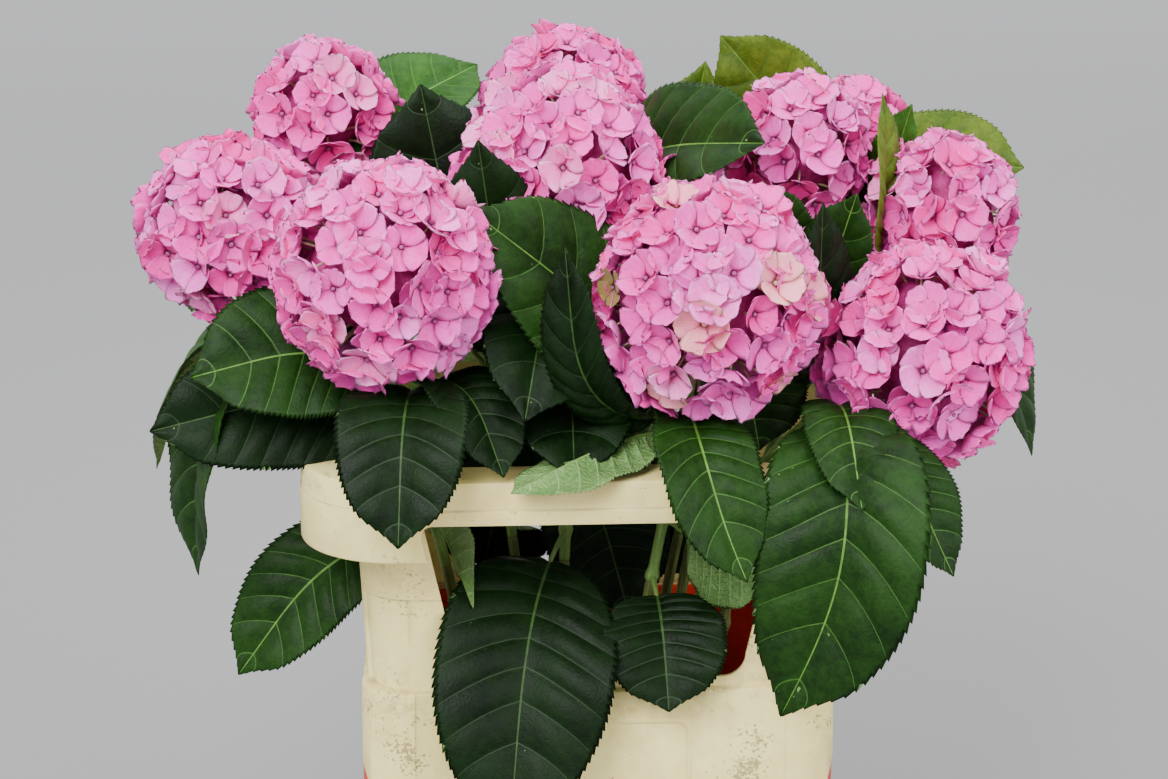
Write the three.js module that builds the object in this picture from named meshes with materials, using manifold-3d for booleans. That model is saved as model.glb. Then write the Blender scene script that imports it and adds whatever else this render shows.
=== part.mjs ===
// Twelve cut hydrangea stems standing in a two-part flower bucket.
//
// An orange-red bucket carries a cream collar with a window in each wall. The stems stand on the
// bucket's floor, lean apart through the collar's mouth and end in round pink heads. Each stem is a
// bare cane below and a leafy shoot above, and the head is a solid of its own.
//
// Frame: +Z up, +X along the bucket's long side, -Y to the front, origin on the ground under the
// middle of the bucket. Lengths are in millimetres and angles in degrees.

import * as THREE from "three";
import { ConvexHull } from "three/addons/math/ConvexHull.js";
import { mergeVertices } from "three/addons/utils/BufferGeometryUtils.js";
import Module from "manifold-3d";

const wasm = await Module();
wasm.setup();

// ---------------------------------------------------------------- driving sizes

const GAP = 0.3; // between two pieces that touch

// Half length, half width and corner radius of the walls at a height.
const BUCKET = {
  floor: 5,
  wall: 3.5,
  bevel: 4, // round the foot
  foot: [141, 96, 34],
  shoulder: [162, 112, 36],
  shoulderZ: 194,
  shoulderStep: [1, 6], // height of the step in to the neck, outside and inside
  neck: [157.6, 107.6, 32],
  rimZ: 274,
};
const COLLAR = {
  wall: 3,
  hemZ: 197,
  hem: [163, 113, 36],
  ledgeZ: 278,
  ledge: [162, 112, 36],
  ledgeStep: 1.5, // height of the slope from the ledge in to the waist
  waist: [158.6, 108.6, 33],
  throat: [166.5, 116.5, 40],
  rim: [200, 150, 66],
  rimZ: 440,
  rimThick: 4,
  rimEdge: [2, 3], // how far the rim's upper edge is cut back, and down
  skirtZ: 386,
  skirtWall: [3.5, 3], // at its root and at its lower edge
};
const WINDOW = {
  bottomZ: 286,
  topZ: 411,
  corner: 16,
  chamfer: [8, 6], // across and down, at the upper corners
  longSide: [95, 120],
  shortSide: [50, 66],
};
const ARCH = { halfWidth: 98, apexZ: 237, below: 8, steps: 10 }; // cut in the collar's hem at both ends
const GRIP = { clearance: 0.8, proud: 1.2, sunk: 1, belowRim: 10 }; // the bucket's panel in each arch

const CORNER_STEPS = 4;
const CANE_TOP = 336; // height where the bare cane ends and the leafy shoot goes on
const STEM = {
  footRadius: 4.8,
  neckRadius: 3.2,
  sides: 6,
  caneSteps: 5,
  shootSteps: 7,
  upright: 0.45, // how much of the height a stem goes straight up before it leans
  sweep: 0.34, // how much of the height it has taken its head's lean for
};
const HEAD = {
  florets: 26,
  tall: 1.08, // along its axis, against across it
  cup: 0.9, // a floret's middle, against its petal tips
  between: 0.88,
  least: 0.97, // the lowest floret, against the highest
  reach: 1.75, // a floret's corner, against the florets' spacing
  tipAt: 0.78,
  betweenAt: 0.94,
  shuffle: 0.4,
  base: { points: 5, spread: 0.3, share: 0.86 }, // the points that close the underside
  underside: 0.8, // no florets lower than this share of the radius
  neckDown: 0.98,
  neckExtra: 0.5,
};
const LEAF = {
  stations: [0, 0.14, 0.24, 0.4, 0.62, 0.82, 0.94, 1],
  ribSteps: 50,
  knee: 0.42,
  straight: 0.05, // share of the length at the root that doesn't bend
  turnedBy: 0.3, // share of the length by which a leaf has turned to face its direction
  crest: 0.4,
  rib: 2.4,
  taper: 0.5,
  stalk: 0.15,
  stalkHalf: 2.4,
  fold: 14,
  clearance: 0.8,
  sideClearance: 5, // against the clearance, at the blade's edges
  leastShare: 0.6, // a leaf that its neighbours leave less of is skipped
};

// The stems, by where their heads stand. A head leans by [x, y] from upright. A leaf springs from
// its stem so far down from the head, or at a height, and ends at its tip. It droops by its bend,
// most of it about its knee, and may turn its upper side to a direction.
const STEMS = {
  left: {
    foot: [-84, -6], centre: [-243, -30, 582], lean: [-0.66, -0.05], radius: 61,
    leaves: [
      { down: 14, tip: [-272, -72, 352], bend: 62, width: 78, face: [-1, -0.5, 0.2] },
      { down: 34, tip: [-303, -18, 411], bend: 80, width: 76 },
      { height: 370, tip: [-250, -44, 268], bend: 40, width: 76, face: [-0.2, -1, 0.5] },
      { height: 392, tip: [-86, -114, 340], bend: 20, width: 72, face: [0.3, 0.9, 0.5] },
      { down: 22, tip: [-286, 104, 492], bend: 70, width: 80 },
      { down: 84, tip: [-226, 52, 432], bend: 80, width: 84 },
    ],
  },
  front_left: {
    foot: [-58, -40], centre: [-141, -115, 571], lean: [-0.2, -0.34], radius: 73,
    leaves: [
      { down: 24, tip: [-134, -196, 412], bend: 85, width: 86 },
      { down: 30, tip: [-268, -112, 503], bend: 50, width: 98, face: [0, -1, 0.75] },
      { down: 26, tip: [-66, -158, 446], bend: 90, width: 66 },
      { down: 72, tip: [-298, -96, 462], bend: 45, width: 90, face: [0, -1, 0.35] },
    ],
  },
  middle: {
    foot: [-34, -56], centre: [-22, 0, 609], lean: [-0.05, -0.1], radius: 73,
    leaves: [
      { down: 20, tip: [-117, 30, 670], bend: -80, knee: 0.3, width: 118, face: [0, -1, 0.3] },
      { down: 44, tip: [-79, -60, 648], bend: -70, knee: 0.3, width: 78, face: [0, -1, 0.2] },
      { down: 30, tip: [-52, -152, 482], bend: 70, width: 90, face: [0, -1, 0.3] },
      { down: 80, tip: [-20, -150, 440], bend: 60, width: 92, face: [0, -1, 0.4] },
      { height: 358, tip: [-64, -164, 200], bend: 62, width: 124, stalk: 0.2, face: [0, -1, 0.35] },
      { down: 112, tip: [-96, -78, 410], bend: 40, width: 84, face: [0, -1, 0.3] },
    ],
  },
  front_right: {
    foot: [8, -50], centre: [67, -125, 554], lean: [0.1, -0.4], radius: 77,
    leaves: [
      { down: 12, tip: [88, -198, 386], bend: 70, width: 70, bow: -15 },
      { down: 70, tip: [-86, -98, 610], bend: 34, width: 108, face: [0.3, -0.9, 0.6] },
      { down: 20, tip: [-26, -152, 596], bend: -80, width: 44, face: [-0.6, -1, 0.3] },
      { height: 456, tip: [-62, -176, 441], bend: 12, width: 60, face: [0, 0.1, -1] },
      { height: 384, tip: [112, -114, 352], bend: 10, width: 96, face: [-0.1, 1, 0.3] },
      { height: 340, tip: [44, -136, 272], bend: 44, width: 86, stalk: 0.22, face: [0, -1, 0.5] },
    ],
  },
  front_far_right: {
    foot: [72, -30], centre: [215, -88, 506], lean: [0.8, -0.2], radius: 73,
    leaves: [
      { down: 14, tip: [112, -190, 290], bend: 98, knee: 0.36, width: 112, bow: 38 },
      { down: 2, tip: [161, -194, 432], bend: 66, width: 62, face: [0, -0.8, 1] },
      { down: 20, tip: [226, -172, 378], bend: 90, width: 60, stalk: 0.4, bow: -14 },
    ],
  },
  right: {
    foot: [84, 8], centre: [245, 25, 575], lean: [0.68, 0.06], radius: 54,
    leaves: [
      { down: 16, tip: [200, 14, 664], bend: -30, width: 44, face: [1, -0.6, 0.2] },
      { down: 26, tip: [304, -38, 417], bend: 80, width: 76 },
      { down: 60, tip: [314, 84, 440], bend: 95, width: 88 },
      { down: 90, tip: [146, -90, 610], bend: -60, width: 50, face: [0.4, -1, 0.2] },
      { down: 100, tip: [226, 4, 436], bend: 80, width: 84 },
    ],
  },
  upper_right: {
    foot: [44, 22], centre: [148, 48, 616], lean: [0.28, 0.08], radius: 51,
    leaves: [
      { down: 37, tip: [112, -50, 615], bend: -40, width: 70, face: [0, -1, 0.6] },
      { down: 60, tip: [176, -40, 605], bend: -60, width: 60, face: [-0.2, -1, 0.2] },
      { down: 110, tip: [112, -50, 428], bend: 50, width: 80, face: [0, -1, 0.3] },
      { height: 372, tip: [112, 88, 300], bend: 20, width: 80, face: [0, -1, 0.2] },
    ],
  },
  back: {
    foot: [-8, 50], centre: [-12, 142, 624], lean: [0, 0.3], radius: 65,
    leaves: [
      { down: 14, tip: [112, -50, 642], bend: 36, width: 96, face: [0.1, -0.9, 0.7] },
      { down: 40, tip: [88, 118, 670], bend: -60, width: 74, face: [0, -1, 0.3] },
      { down: 24, tip: [-44, 256, 500], bend: 80, width: 96 },
      { down: 60, tip: [60, 244, 460], bend: 80, width: 92 },
      { down: 100, tip: [36, -40, 440], bend: 60, width: 84, face: [0, -1, 0.4] },
      { height: 398, tip: [26, -6, 292], bend: 16, width: 92, face: [0, -1, 0.2] },
    ],
  },
  back_left: {
    foot: [-62, 34], centre: [-186, 100, 636], lean: [-0.35, 0.25], radius: 49,
    leaves: [
      { down: 20, tip: [-76, 150, 664], bend: 55, width: 84, face: [0, -0.6, 1] },
      { down: 40, tip: [-300, 112, 540], bend: 60, width: 84 },
      { down: 50, tip: [-180, 226, 500], bend: 80, width: 90 },
      { down: 150, tip: [-206, 96, 434], bend: 70, width: 84 },
    ],
  },
  back_right: {
    foot: [64, 50], centre: [200, 145, 604], lean: [0.33, 0.33], radius: 45,
    leaves: [
      { down: 20, tip: [96, 95, 692], bend: 25, width: 84, face: [0, -1, 0.2] },
      { down: 14, tip: [229, 60, 648], bend: -50, width: 44, face: [-0.6, -0.8, 0.3] },
      { down: 22, tip: [310, 56, 602], bend: 48, width: 84, face: [0, -0.9, 0.8] },
      { down: 40, tip: [306, 196, 500], bend: 70, width: 84 },
      { down: 58, tip: [196, 250, 470], bend: 85, width: 90 },
      { down: 130, tip: [226, 84, 430], bend: 80, width: 84 },
    ],
  },
  rear_left: {
    foot: [-34, 42], centre: [-78, 110, 518], lean: [-0.1, 0.45], radius: 52,
    leaves: [
      { down: 24, tip: [-160, 190, 420], bend: 80, width: 88 },
      { down: 30, tip: [-60, 220, 372], bend: 110, knee: 0.35, width: 96 },
      { height: 366, tip: [-76, 92, 296], bend: 20, width: 86, face: [0, -1, 0.2] },
    ],
  },
  rear_right: {
    foot: [30, 52], centre: [110, 114, 540], lean: [0.18, 0.45], radius: 52,
    leaves: [
      { down: 20, tip: [190, 200, 420], bend: 80, width: 92 },
      { down: 24, tip: [96, 222, 380], bend: 110, knee: 0.35, width: 94 },
      { height: 398, tip: [40, 86, 288], bend: 16, width: 96, face: [0, -1, 0.2] },
    ],
  },
};

const FINISHES = {
  bucket: { rgb: [0.78, 0.2, 0.06], roughness: 0.45 },
  collar: { rgb: [0.84, 0.8, 0.66], roughness: 0.45 },
  stem: { rgb: [0.3, 0.36, 0.15], roughness: 0.7 },
  leaf: { rgb: [0.06, 0.17, 0.05], roughness: 0.6 },
  bloom: { rgb: [0.86, 0.36, 0.58], roughness: 0.7 },
};

// ---------------------------------------------------------------- small helpers

const rad = THREE.MathUtils.degToRad;
const vec = (x, y, z) => new THREE.Vector3(x, y, z);

// A closed geometry from triangles, each given as three points.
function geometryOf(triangles) {
  const geometry = new THREE.BufferGeometry();
  const numbers = triangles.flatMap((t) => t.flatMap((p) => [p.x, p.y, p.z]));
  geometry.setAttribute("position", new THREE.Float32BufferAttribute(numbers, 3));
  return geometry;
}

function solidOf(geometry) {
  const bare = geometry.clone();
  bare.deleteAttribute("normal");
  bare.deleteAttribute("uv");
  const merged = mergeVertices(bare, 1e-4);
  return new wasm.Manifold(
    new wasm.Mesh({
      numProp: 3,
      vertProperties: merged.attributes.position.array,
      triVerts: new Uint32Array(merged.index.array),
    }),
  );
}

function geometryOfSolid(solid) {
  const mesh = solid.getMesh();
  const geometry = new THREE.BufferGeometry();
  geometry.setAttribute("position", new THREE.BufferAttribute(mesh.vertProperties, 3));
  geometry.setIndex(new THREE.BufferAttribute(mesh.triVerts, 1));
  geometry.computeVertexNormals();
  return geometry;
}

function joined(solids) {
  return solids.reduce((sum, s) => sum.add(s));
}

// The largest body of a solid; the scraps that a cut leaves are dropped.
function mainBody(solid) {
  return solid.decompose().sort((a, b) => b.volume() - a.volume())[0];
}

// The solid that a prism along X or Y makes of an outline of [across, height] points.
function prism(outline, axis, from, to) {
  const shape = new THREE.Shape(outline.map(([u, v]) => new THREE.Vector2(u, v)));
  const geometry = new THREE.ExtrudeGeometry(shape, { depth: to - from, bevelEnabled: false });
  geometry.rotateX(Math.PI / 2); // the outline's height becomes Z, and its depth runs to -Y
  geometry.translate(0, to, 0);
  if (axis === "x") geometry.rotateZ(-Math.PI / 2);
  return solidOf(geometry);
}

// ---------------------------------------------------------------- the bucket and its collar

// A rounded rectangle, anticlockwise seen from above.
function roundedRing([halfX, halfY, corner], z) {
  const ring = [];
  const corners = [[1, -1, -90], [1, 1, 0], [-1, 1, 90], [-1, -1, 180]];
  for (const [signX, signY, start] of corners)
    for (let i = 0; i <= CORNER_STEPS; i++) {
      const a = rad(start + (90 * i) / CORNER_STEPS);
      const x = signX * (halfX - corner) + corner * Math.cos(a);
      const y = signY * (halfY - corner) + corner * Math.sin(a);
      ring.push(vec(x, y, z));
    }
  return ring;
}

const grown = ([x, y, r], by) => [x + by, y + by, r + by];

// A wall through rings that run up the outside and down the inside. It closes on itself as a sleeve,
// or is capped in the middle of its first and last rings as a bucket.
function wallThrough(rings, sleeve) {
  const triangles = [];
  const band = (a, b) =>
    a.forEach((p, i) => {
      const j = (i + 1) % a.length;
      triangles.push([p, a[j], b[j]], [p, b[j], b[i]]);
    });
  rings.slice(1).forEach((ring, i) => band(rings[i], ring));
  if (sleeve) band(rings.at(-1), rings[0]);
  else {
    const first = rings[0];
    const last = rings.at(-1);
    first.forEach((p, i) => {
      const j = (i + 1) % first.length;
      triangles.push([first[j], p, vec(0, 0, p.z)]);
      triangles.push([last[i], last[j], vec(0, 0, last[0].z)]);
    });
  }
  return solidOf(geometryOf(triangles));
}

// The arch that is left open in the collar's hem at each end, as an outline of [across, height].
function archOutline(inset) {
  const half = ARCH.halfWidth - inset;
  const rise = ARCH.apexZ - COLLAR.hemZ - inset;
  const footZ = COLLAR.hemZ - ARCH.below;
  const outline = [];
  for (let i = 0; i <= ARCH.steps; i++) {
    const a = rad((180 * i) / ARCH.steps);
    outline.push([half * Math.cos(a), COLLAR.hemZ + rise * Math.sin(a)]);
  }
  return [...outline, [-half, footZ], [half, footZ]];
}

// A window's outline: wider at the top, with rounded lower corners.
function windowOutline([bottomHalf, topHalf], inset) {
  const { bottomZ, topZ, corner, chamfer } = WINDOW;
  const slope = (topHalf - bottomHalf) / (topZ - bottomZ);
  const halfAt = (z) => bottomHalf + slope * (z - bottomZ) - inset;
  const lowerRight = [];
  for (let i = 0; i <= CORNER_STEPS; i++) {
    const a = rad(-90 + (90 * i) / CORNER_STEPS);
    const z = bottomZ + inset + corner + corner * Math.sin(a);
    lowerRight.push([halfAt(bottomZ + corner) - corner + corner * Math.cos(a), z]);
  }
  const upperRight = [
    [halfAt(topZ - chamfer[1]), topZ - inset - chamfer[1]],
    [halfAt(topZ) - chamfer[0], topZ - inset],
  ];
  const right = [...lowerRight, ...upperRight];
  return [...right, ...right.map(([x, z]) => [-x, z]).reverse()];
}

// The collar. Grown by a little, it is the space that leaves keep out of.
function collarSolid(by) {
  const { wall, hemZ, hem, ledgeZ, ledge, ledgeStep, waist, throat } = COLLAR;
  const { rim, rimZ, rimThick, rimEdge, skirtZ, skirtWall } = COLLAR;
  const seatZ = BUCKET.rimZ + GAP;
  const rings = [
    roundedRing(grown(hem, by), hemZ - by),
    roundedRing(grown(ledge, by), ledgeZ + by),
    roundedRing(grown(waist, by), ledgeZ + ledgeStep + by),
    roundedRing(grown(throat, by), rimZ - rimThick - by),
    roundedRing(grown(rim, -skirtWall[0] - by), rimZ - rimThick - by),
    roundedRing(grown(rim, -skirtWall[1] - by), skirtZ - by),
    roundedRing(grown(rim, by), skirtZ - by),
    roundedRing(grown(rim, by), rimZ - rimEdge[1]),
    roundedRing(grown(rim, by - rimEdge[0]), rimZ + by),
    roundedRing(grown(throat, -wall - by), rimZ + by),
    roundedRing(grown(waist, -wall - by), ledgeZ),
    roundedRing(grown(waist, -wall - by), seatZ),
    roundedRing(grown(ledge, -wall - by), seatZ),
    roundedRing(grown(hem, -wall - by), hemZ - by),
  ];
  const past = 1.5 * rim[0]; // clear of the walls on both sides
  return wallThrough(rings, true)
    .subtract(prism(windowOutline(WINDOW.longSide, by), "y", -past, past))
    .subtract(prism(windowOutline(WINDOW.shortSide, by), "x", -past, past))
    .subtract(prism(archOutline(by), "x", -past, past));
}

// The bucket, with a grip panel at each end that fills the collar's arch.
function bucketSolid() {
  const { floor, wall, bevel, foot, shoulder, shoulderZ, shoulderStep, neck, rimZ } = BUCKET;
  const rings = [
    roundedRing(grown(foot, -bevel), 0),
    roundedRing(foot, bevel),
    roundedRing(shoulder, shoulderZ),
    roundedRing(neck, shoulderZ + shoulderStep[0]),
    roundedRing(neck, rimZ),
    roundedRing(grown(neck, -wall), rimZ),
    roundedRing(grown(neck, -wall), shoulderZ),
    roundedRing(grown(shoulder, -wall), shoulderZ - shoulderStep[1]),
    roundedRing(grown(foot, -wall), floor),
  ];
  const inner = grown(neck, -GRIP.sunk);
  const outer = grown(shoulder, GRIP.proud);
  const [low, high] = [shoulderZ - GRIP.sunk, rimZ - GRIP.belowRim];
  const belt = wallThrough(
    [roundedRing(inner, low), roundedRing(outer, low), roundedRing(outer, high), roundedRing(inner, high)],
    true,
  );
  const arch = prism(archOutline(GRIP.clearance), "x", -outer[0], outer[0]);
  return wallThrough(rings, false).add(belt.intersect(arch));
}

// ---------------------------------------------------------------- stems

const axisOf = ({ lean: [x, y] }) => vec(x, y, Math.sqrt(1 - x * x - y * y));

// A stem's middle line, from its foot on the bucket's floor to the underside of its head.
function stemLine(stem) {
  const axis = axisOf(stem);
  const foot = vec(...stem.foot, BUCKET.floor + GAP);
  const neck = vec(...stem.centre).addScaledVector(axis, -stem.radius * HEAD.neckDown);
  const height = neck.z - foot.z;
  const above = foot.clone().add(vec(0, 0, STEM.upright * height));
  const below = neck.clone().addScaledVector(axis, -STEM.sweep * height);
  return new THREE.CubicBezierCurve3(foot, above, below, neck);
}

// The share of a stem's length that lies below a height.
function shareAtHeight(line, z) {
  const halvings = 24;
  let [low, high] = [0, 1];
  for (let i = 0; i < halvings; i++) {
    const middle = (low + high) / 2;
    if (line.getPointAt(middle).z < z) low = middle;
    else high = middle;
  }
  return low;
}

const shareAtDepth = (line, down) => 1 - down / line.getLength();

// A tapering tube along part of a stem's line, from share u0 to share u1 of its length.
function stemTube(line, u0, u1, steps, extra = 0) {
  const rings = [];
  for (let i = 0; i <= steps; i++) {
    const u = u0 + ((u1 - u0) * i) / steps;
    const along = line.getTangentAt(u);
    const side = vec(0, 1, 0).cross(along).normalize();
    const up = along.clone().cross(side);
    const middle = line.getPointAt(u);
    const r = THREE.MathUtils.lerp(STEM.footRadius, STEM.neckRadius, u) + extra;
    const ring = [];
    for (let k = 0; k < STEM.sides; k++) {
      const a = (2 * Math.PI * k) / STEM.sides;
      const out = side.clone().multiplyScalar(Math.cos(a)).addScaledVector(up, Math.sin(a));
      ring.push(middle.clone().addScaledVector(out, r));
    }
    rings.push(ring);
  }
  const triangles = [];
  rings.slice(1).forEach((ring, i) =>
    ring.forEach((p, k) => {
      const n = (k + 1) % STEM.sides;
      triangles.push([rings[i][k], rings[i][n], ring[n]], [rings[i][k], ring[n], p]);
    }),
  );
  const [bottom, top] = [rings[0], rings.at(-1)];
  for (let k = 1; k < STEM.sides - 1; k++) {
    triangles.push([bottom[0], bottom[k + 1], bottom[k]], [top[0], top[k], top[k + 1]]);
  }
  return solidOf(geometryOf(triangles));
}

// ---------------------------------------------------------------- leaves

// Half width of a blade at share t of its length, against its greatest half width: with u the share of
// the blade, an oval (1 - |2 u^0.88 - 1|^2.2)^0.72 that is drawn in near the tip.
function bladeOutline(t, stalk) {
  if (t <= stalk) return 0;
  const u = (t - stalk) / (1 - stalk);
  const oval = Math.pow(1 - Math.pow(Math.abs(2 * Math.pow(u, 0.88) - 1), 2.2), 0.72);
  return oval * (1 - 0.5 * THREE.MathUtils.smoothstep(u, 0.84, 0.99));
}

// How far a midrib has turned down at share t, against its whole bend.
const turnedAt = (t, knee) => THREE.MathUtils.smoothstep(t, LEAF.straight, 2 * knee - LEAF.straight);

// The midrib's stations from a root to a tip. It lies in an upright plane and turns down by `bend`:
// the curve is laid out level, then turned and scaled until it ends at the tip.
function midrib(root, { tip: end, bend, knee = LEAF.knee, bow = 0 }) {
  const tip = vec(...end);
  const steps = LEAF.ribSteps;
  const flat = [[0, 0]];
  for (let i = 0; i < steps; i++) {
    const a = -rad(bend) * turnedAt((i + 0.5) / steps, knee);
    flat.push([flat[i][0] + Math.cos(a) / steps, flat[i][1] + Math.sin(a) / steps]);
  }
  const span = tip.clone().sub(root);
  const across = Math.hypot(span.x, span.y);
  const bearing = vec(span.x / across, span.y / across, 0);
  const [endX, endY] = flat.at(-1);
  const length = span.length() / Math.hypot(endX, endY);
  const rise = Math.atan2(span.z, across) - Math.atan2(endY, endX);
  const left = vec(-bearing.y, bearing.x, 0);
  return flat.map(([x, y], i) => {
    const t = i / steps;
    const a = rise - rad(bend) * turnedAt(t, knee);
    const forward = length * (x * Math.cos(rise) - y * Math.sin(rise));
    const upward = length * (x * Math.sin(rise) + y * Math.cos(rise));
    const along = bearing.clone().multiplyScalar(Math.cos(a)).add(vec(0, 0, Math.sin(a)));
    along.addScaledVector(left, (bow / length) * Math.PI * Math.cos(Math.PI * t)).normalize();
    return {
      point: root
        .clone()
        .addScaledVector(bearing, forward)
        .addScaledVector(left, bow * Math.sin(Math.PI * t))
        .add(vec(0, 0, upward)),
      along,
      up: bearing.clone().multiplyScalar(-Math.sin(a)).add(vec(0, 0, Math.cos(a))),
    };
  });
}

// The turn about the midrib that brings a leaf's upper side towards a direction.
function turnTowards(face, { along, up }) {
  if (!face) return 0;
  const side = along.clone().cross(up);
  const wanted = vec(...face);
  return Math.atan2(wanted.dot(side), wanted.dot(up));
}

// A leaf: a flat stalk that widens to an oval blade, thickest at its rib and sharp at its edges.
function leafSolid(leaf, root, extra = 0) {
  const line = midrib(root, leaf);
  const { stalk = LEAF.stalk, fold = LEAF.fold } = leaf;
  const turn = turnTowards(leaf.face, line[LEAF.ribSteps / 2]);
  const sections = LEAF.stations.map((t) => {
    const { point, along, up } = line[Math.round(t * LEAF.ribSteps)];
    const eased = turn * THREE.MathUtils.smoothstep(t, 0, LEAF.turnedBy);
    const side = along.clone().cross(up).normalize().applyAxisAngle(along, eased);
    const normal = side.clone().cross(along);
    const blade = t > stalk;
    const wide = (leaf.width / 2) * bladeOutline(t, stalk);
    const half = Math.max(LEAF.stalkHalf, wide) + LEAF.sideClearance * extra;
    const lift = blade ? half * Math.sin(rad(fold)) : 0;
    const reach = half * Math.cos(rad(fold));
    const thick = blade ? LEAF.rib * (1 - LEAF.taper * t) : LEAF.stalkHalf;
    const at = (s, n) => point.clone().addScaledVector(side, s).addScaledVector(normal, n);
    return [at(0, LEAF.crest + extra), at(reach, lift), at(0, -thick - extra), at(-reach, lift)];
  });
  // The faces above and below each half are split from its edge to the next rib, both the same way, so
  // that they don't cross where a leaf twists.
  const triangles = [];
  sections.slice(1, -1).forEach((b, i) => {
    const a = sections[i];
    for (let k = 0; k < 4; k++) {
      const n = (k + 1) % 4;
      if (k % 2) triangles.push([a[k], a[n], b[n]], [a[k], b[n], b[k]]);
      else triangles.push([a[k], a[n], b[k]], [a[n], b[n], b[k]]);
    }
  });
  const end = sections.at(-1)[0];
  const last = sections.at(-2);
  for (let k = 0; k < 4; k++) triangles.push([last[k], last[(k + 1) % 4], end]);
  const first = sections[0];
  triangles.push([first[0], first[3], first[1]], [first[1], first[3], first[2]]);
  return solidOf(geometryOf(triangles));
}

// ---------------------------------------------------------------- flower heads

// Repeatable numbers from 0 to 1.
function randomFrom(seed) {
  let state = seed;
  return () => {
    state = (Math.imul(state, 1664525) + 1013904223) >>> 0;
    return state / 4294967296;
  };
}

// A head's surface, floret by floret: each is a cup of four petals, low in its middle, high at its
// petal tips and low again between them. The florets are spread evenly on a ball by the golden angle.
function headSolid(stem, seed, extra = 0) {
  const random = randomFrom(seed);
  const golden = Math.PI * (3 - Math.sqrt(5));
  const slant = vec(0.3, 0.5, 0.81); // a direction that no floret faces
  const reach = HEAD.reach / Math.sqrt(HEAD.florets);
  const points = [];
  const put = (direction, share) => points.push(Object.assign(direction.normalize(), { share }));
  for (let i = 0; i < HEAD.florets; i++) {
    const up = 1 - (2 * (i + 0.5)) / HEAD.florets;
    if (up < -HEAD.underside) continue;
    const around = golden * i + HEAD.shuffle * random();
    const flat = Math.sqrt(1 - up * up);
    const middle = vec(flat * Math.cos(around), flat * Math.sin(around), up);
    const side = middle.clone().cross(slant).normalize();
    const turn = random() * Math.PI;
    const height = THREE.MathUtils.lerp(HEAD.least, 1, random());
    put(middle.clone(), HEAD.cup * height);
    for (let k = 0; k < 8; k++) {
      const out = side.clone().applyAxisAngle(middle, turn + (k * Math.PI) / 4);
      const isTip = k % 2 === 0;
      const point = middle.clone().addScaledVector(out, reach * (isTip ? HEAD.tipAt : HEAD.betweenAt));
      put(point, (isTip ? 1 : HEAD.between) * height);
    }
  }
  const { points: feet, spread, share } = HEAD.base;
  for (let k = 0; k < feet; k++) {
    const a = (2 * Math.PI * k) / feet;
    put(vec(spread * Math.cos(a), spread * Math.sin(a), -1), share);
  }
  const hull = new ConvexHull().setFromPoints(points);
  const upright = axisOf(stem).add(vec(0, 0, 1)).normalize(); // a head nods less than its stem leans
  const toAxis = new THREE.Quaternion().setFromUnitVectors(vec(0, 0, 1), upright);
  const centre = vec(...stem.centre);
  const radius = stem.radius + extra;
  const place = ({ x, y, z, share }) =>
    vec(x, y, z * HEAD.tall).multiplyScalar(share * radius).applyQuaternion(toAxis).add(centre);
  const triangles = hull.faces.map(({ edge }) => {
    const corners = [edge, edge.next, edge.next.next];
    return corners.map((e) => place(e.head().point));
  });
  const neck = stemLine(stem).getPoint(1);
  const spine = new THREE.LineCurve3(neck, centre);
  return solidOf(geometryOf(triangles)).add(stemTube(spine, 0, 1, 1, HEAD.neckExtra + extra));
}

// ---------------------------------------------------------------- the whole

const materials = Object.fromEntries(
  Object.entries(FINISHES).map(([name, { rgb, roughness }]) => {
    return [name, new THREE.MeshStandardMaterial({ color: new THREE.Color(...rgb), roughness })];
  }),
);

const group = new THREE.Group();

function addPiece(name, solid, material) {
  const mesh = new THREE.Mesh(geometryOfSolid(solid), materials[material]);
  mesh.name = name;
  group.add(mesh);
}

addPiece("bucket", bucketSolid(), "bucket");
addPiece("collar", collarSolid(0), "collar");

const names = Object.keys(STEMS);
const rimSpace = collarSolid(LEAF.clearance);

// Each stem with the solids of its cane, shoot and head. The second of each pair is grown by the
// leaves' clearance, and is the space that other leaves keep out of.
const plants = names.map((name, seed) => {
  const stem = STEMS[name];
  const line = stemLine(stem);
  const split = shareAtHeight(line, CANE_TOP);
  const gap = GAP / line.getLength();
  const pair = (make) => [make(0), make(LEAF.clearance)];
  return {
    name,
    line,
    leaves: stem.leaves,
    cane: pair((extra) => stemTube(line, 0, split, STEM.caneSteps, extra)),
    shoot: pair((extra) => stemTube(line, split + gap, 1 - gap, STEM.shootSteps, extra)),
    head: pair((extra) => headSolid(stem, seed, extra)),
  };
});

const leafSpace = [];

for (const plant of plants) {
  const { name, line, leaves, cane, shoot, head } = plant;
  addPiece(`stem_${name}`, cane[0], "stem");
  addPiece(`bloom_${name}`, mainBody(head[0].subtract(rimSpace)), "bloom");
  const shoots = plants.filter((other) => other !== plant).map((other) => other.shoot[1]);
  const taken = [rimSpace, ...plants.flatMap((other) => [other.cane[1], other.head[1]]), ...shoots];
  taken.push(...leafSpace);
  const parts = [shoot[0].subtract(head[1])];
  for (const leaf of leaves) {
    const share = leaf.height ? shareAtHeight(line, leaf.height) : shareAtDepth(line, leaf.down);
    const root = line.getPointAt(share);
    const whole = leafSolid(leaf, root);
    const free = mainBody(taken.reduce((solid, space) => solid.subtract(space), whole));
    if (free.volume() < LEAF.leastShare * whole.volume()) continue;
    parts.push(free);
    leafSpace.push(whole.add(leafSolid(leaf, root, LEAF.clearance)));
  }
  addPiece(`foliage_${name}`, mainBody(joined(parts)), "leaf");
}

export default group;
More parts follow.
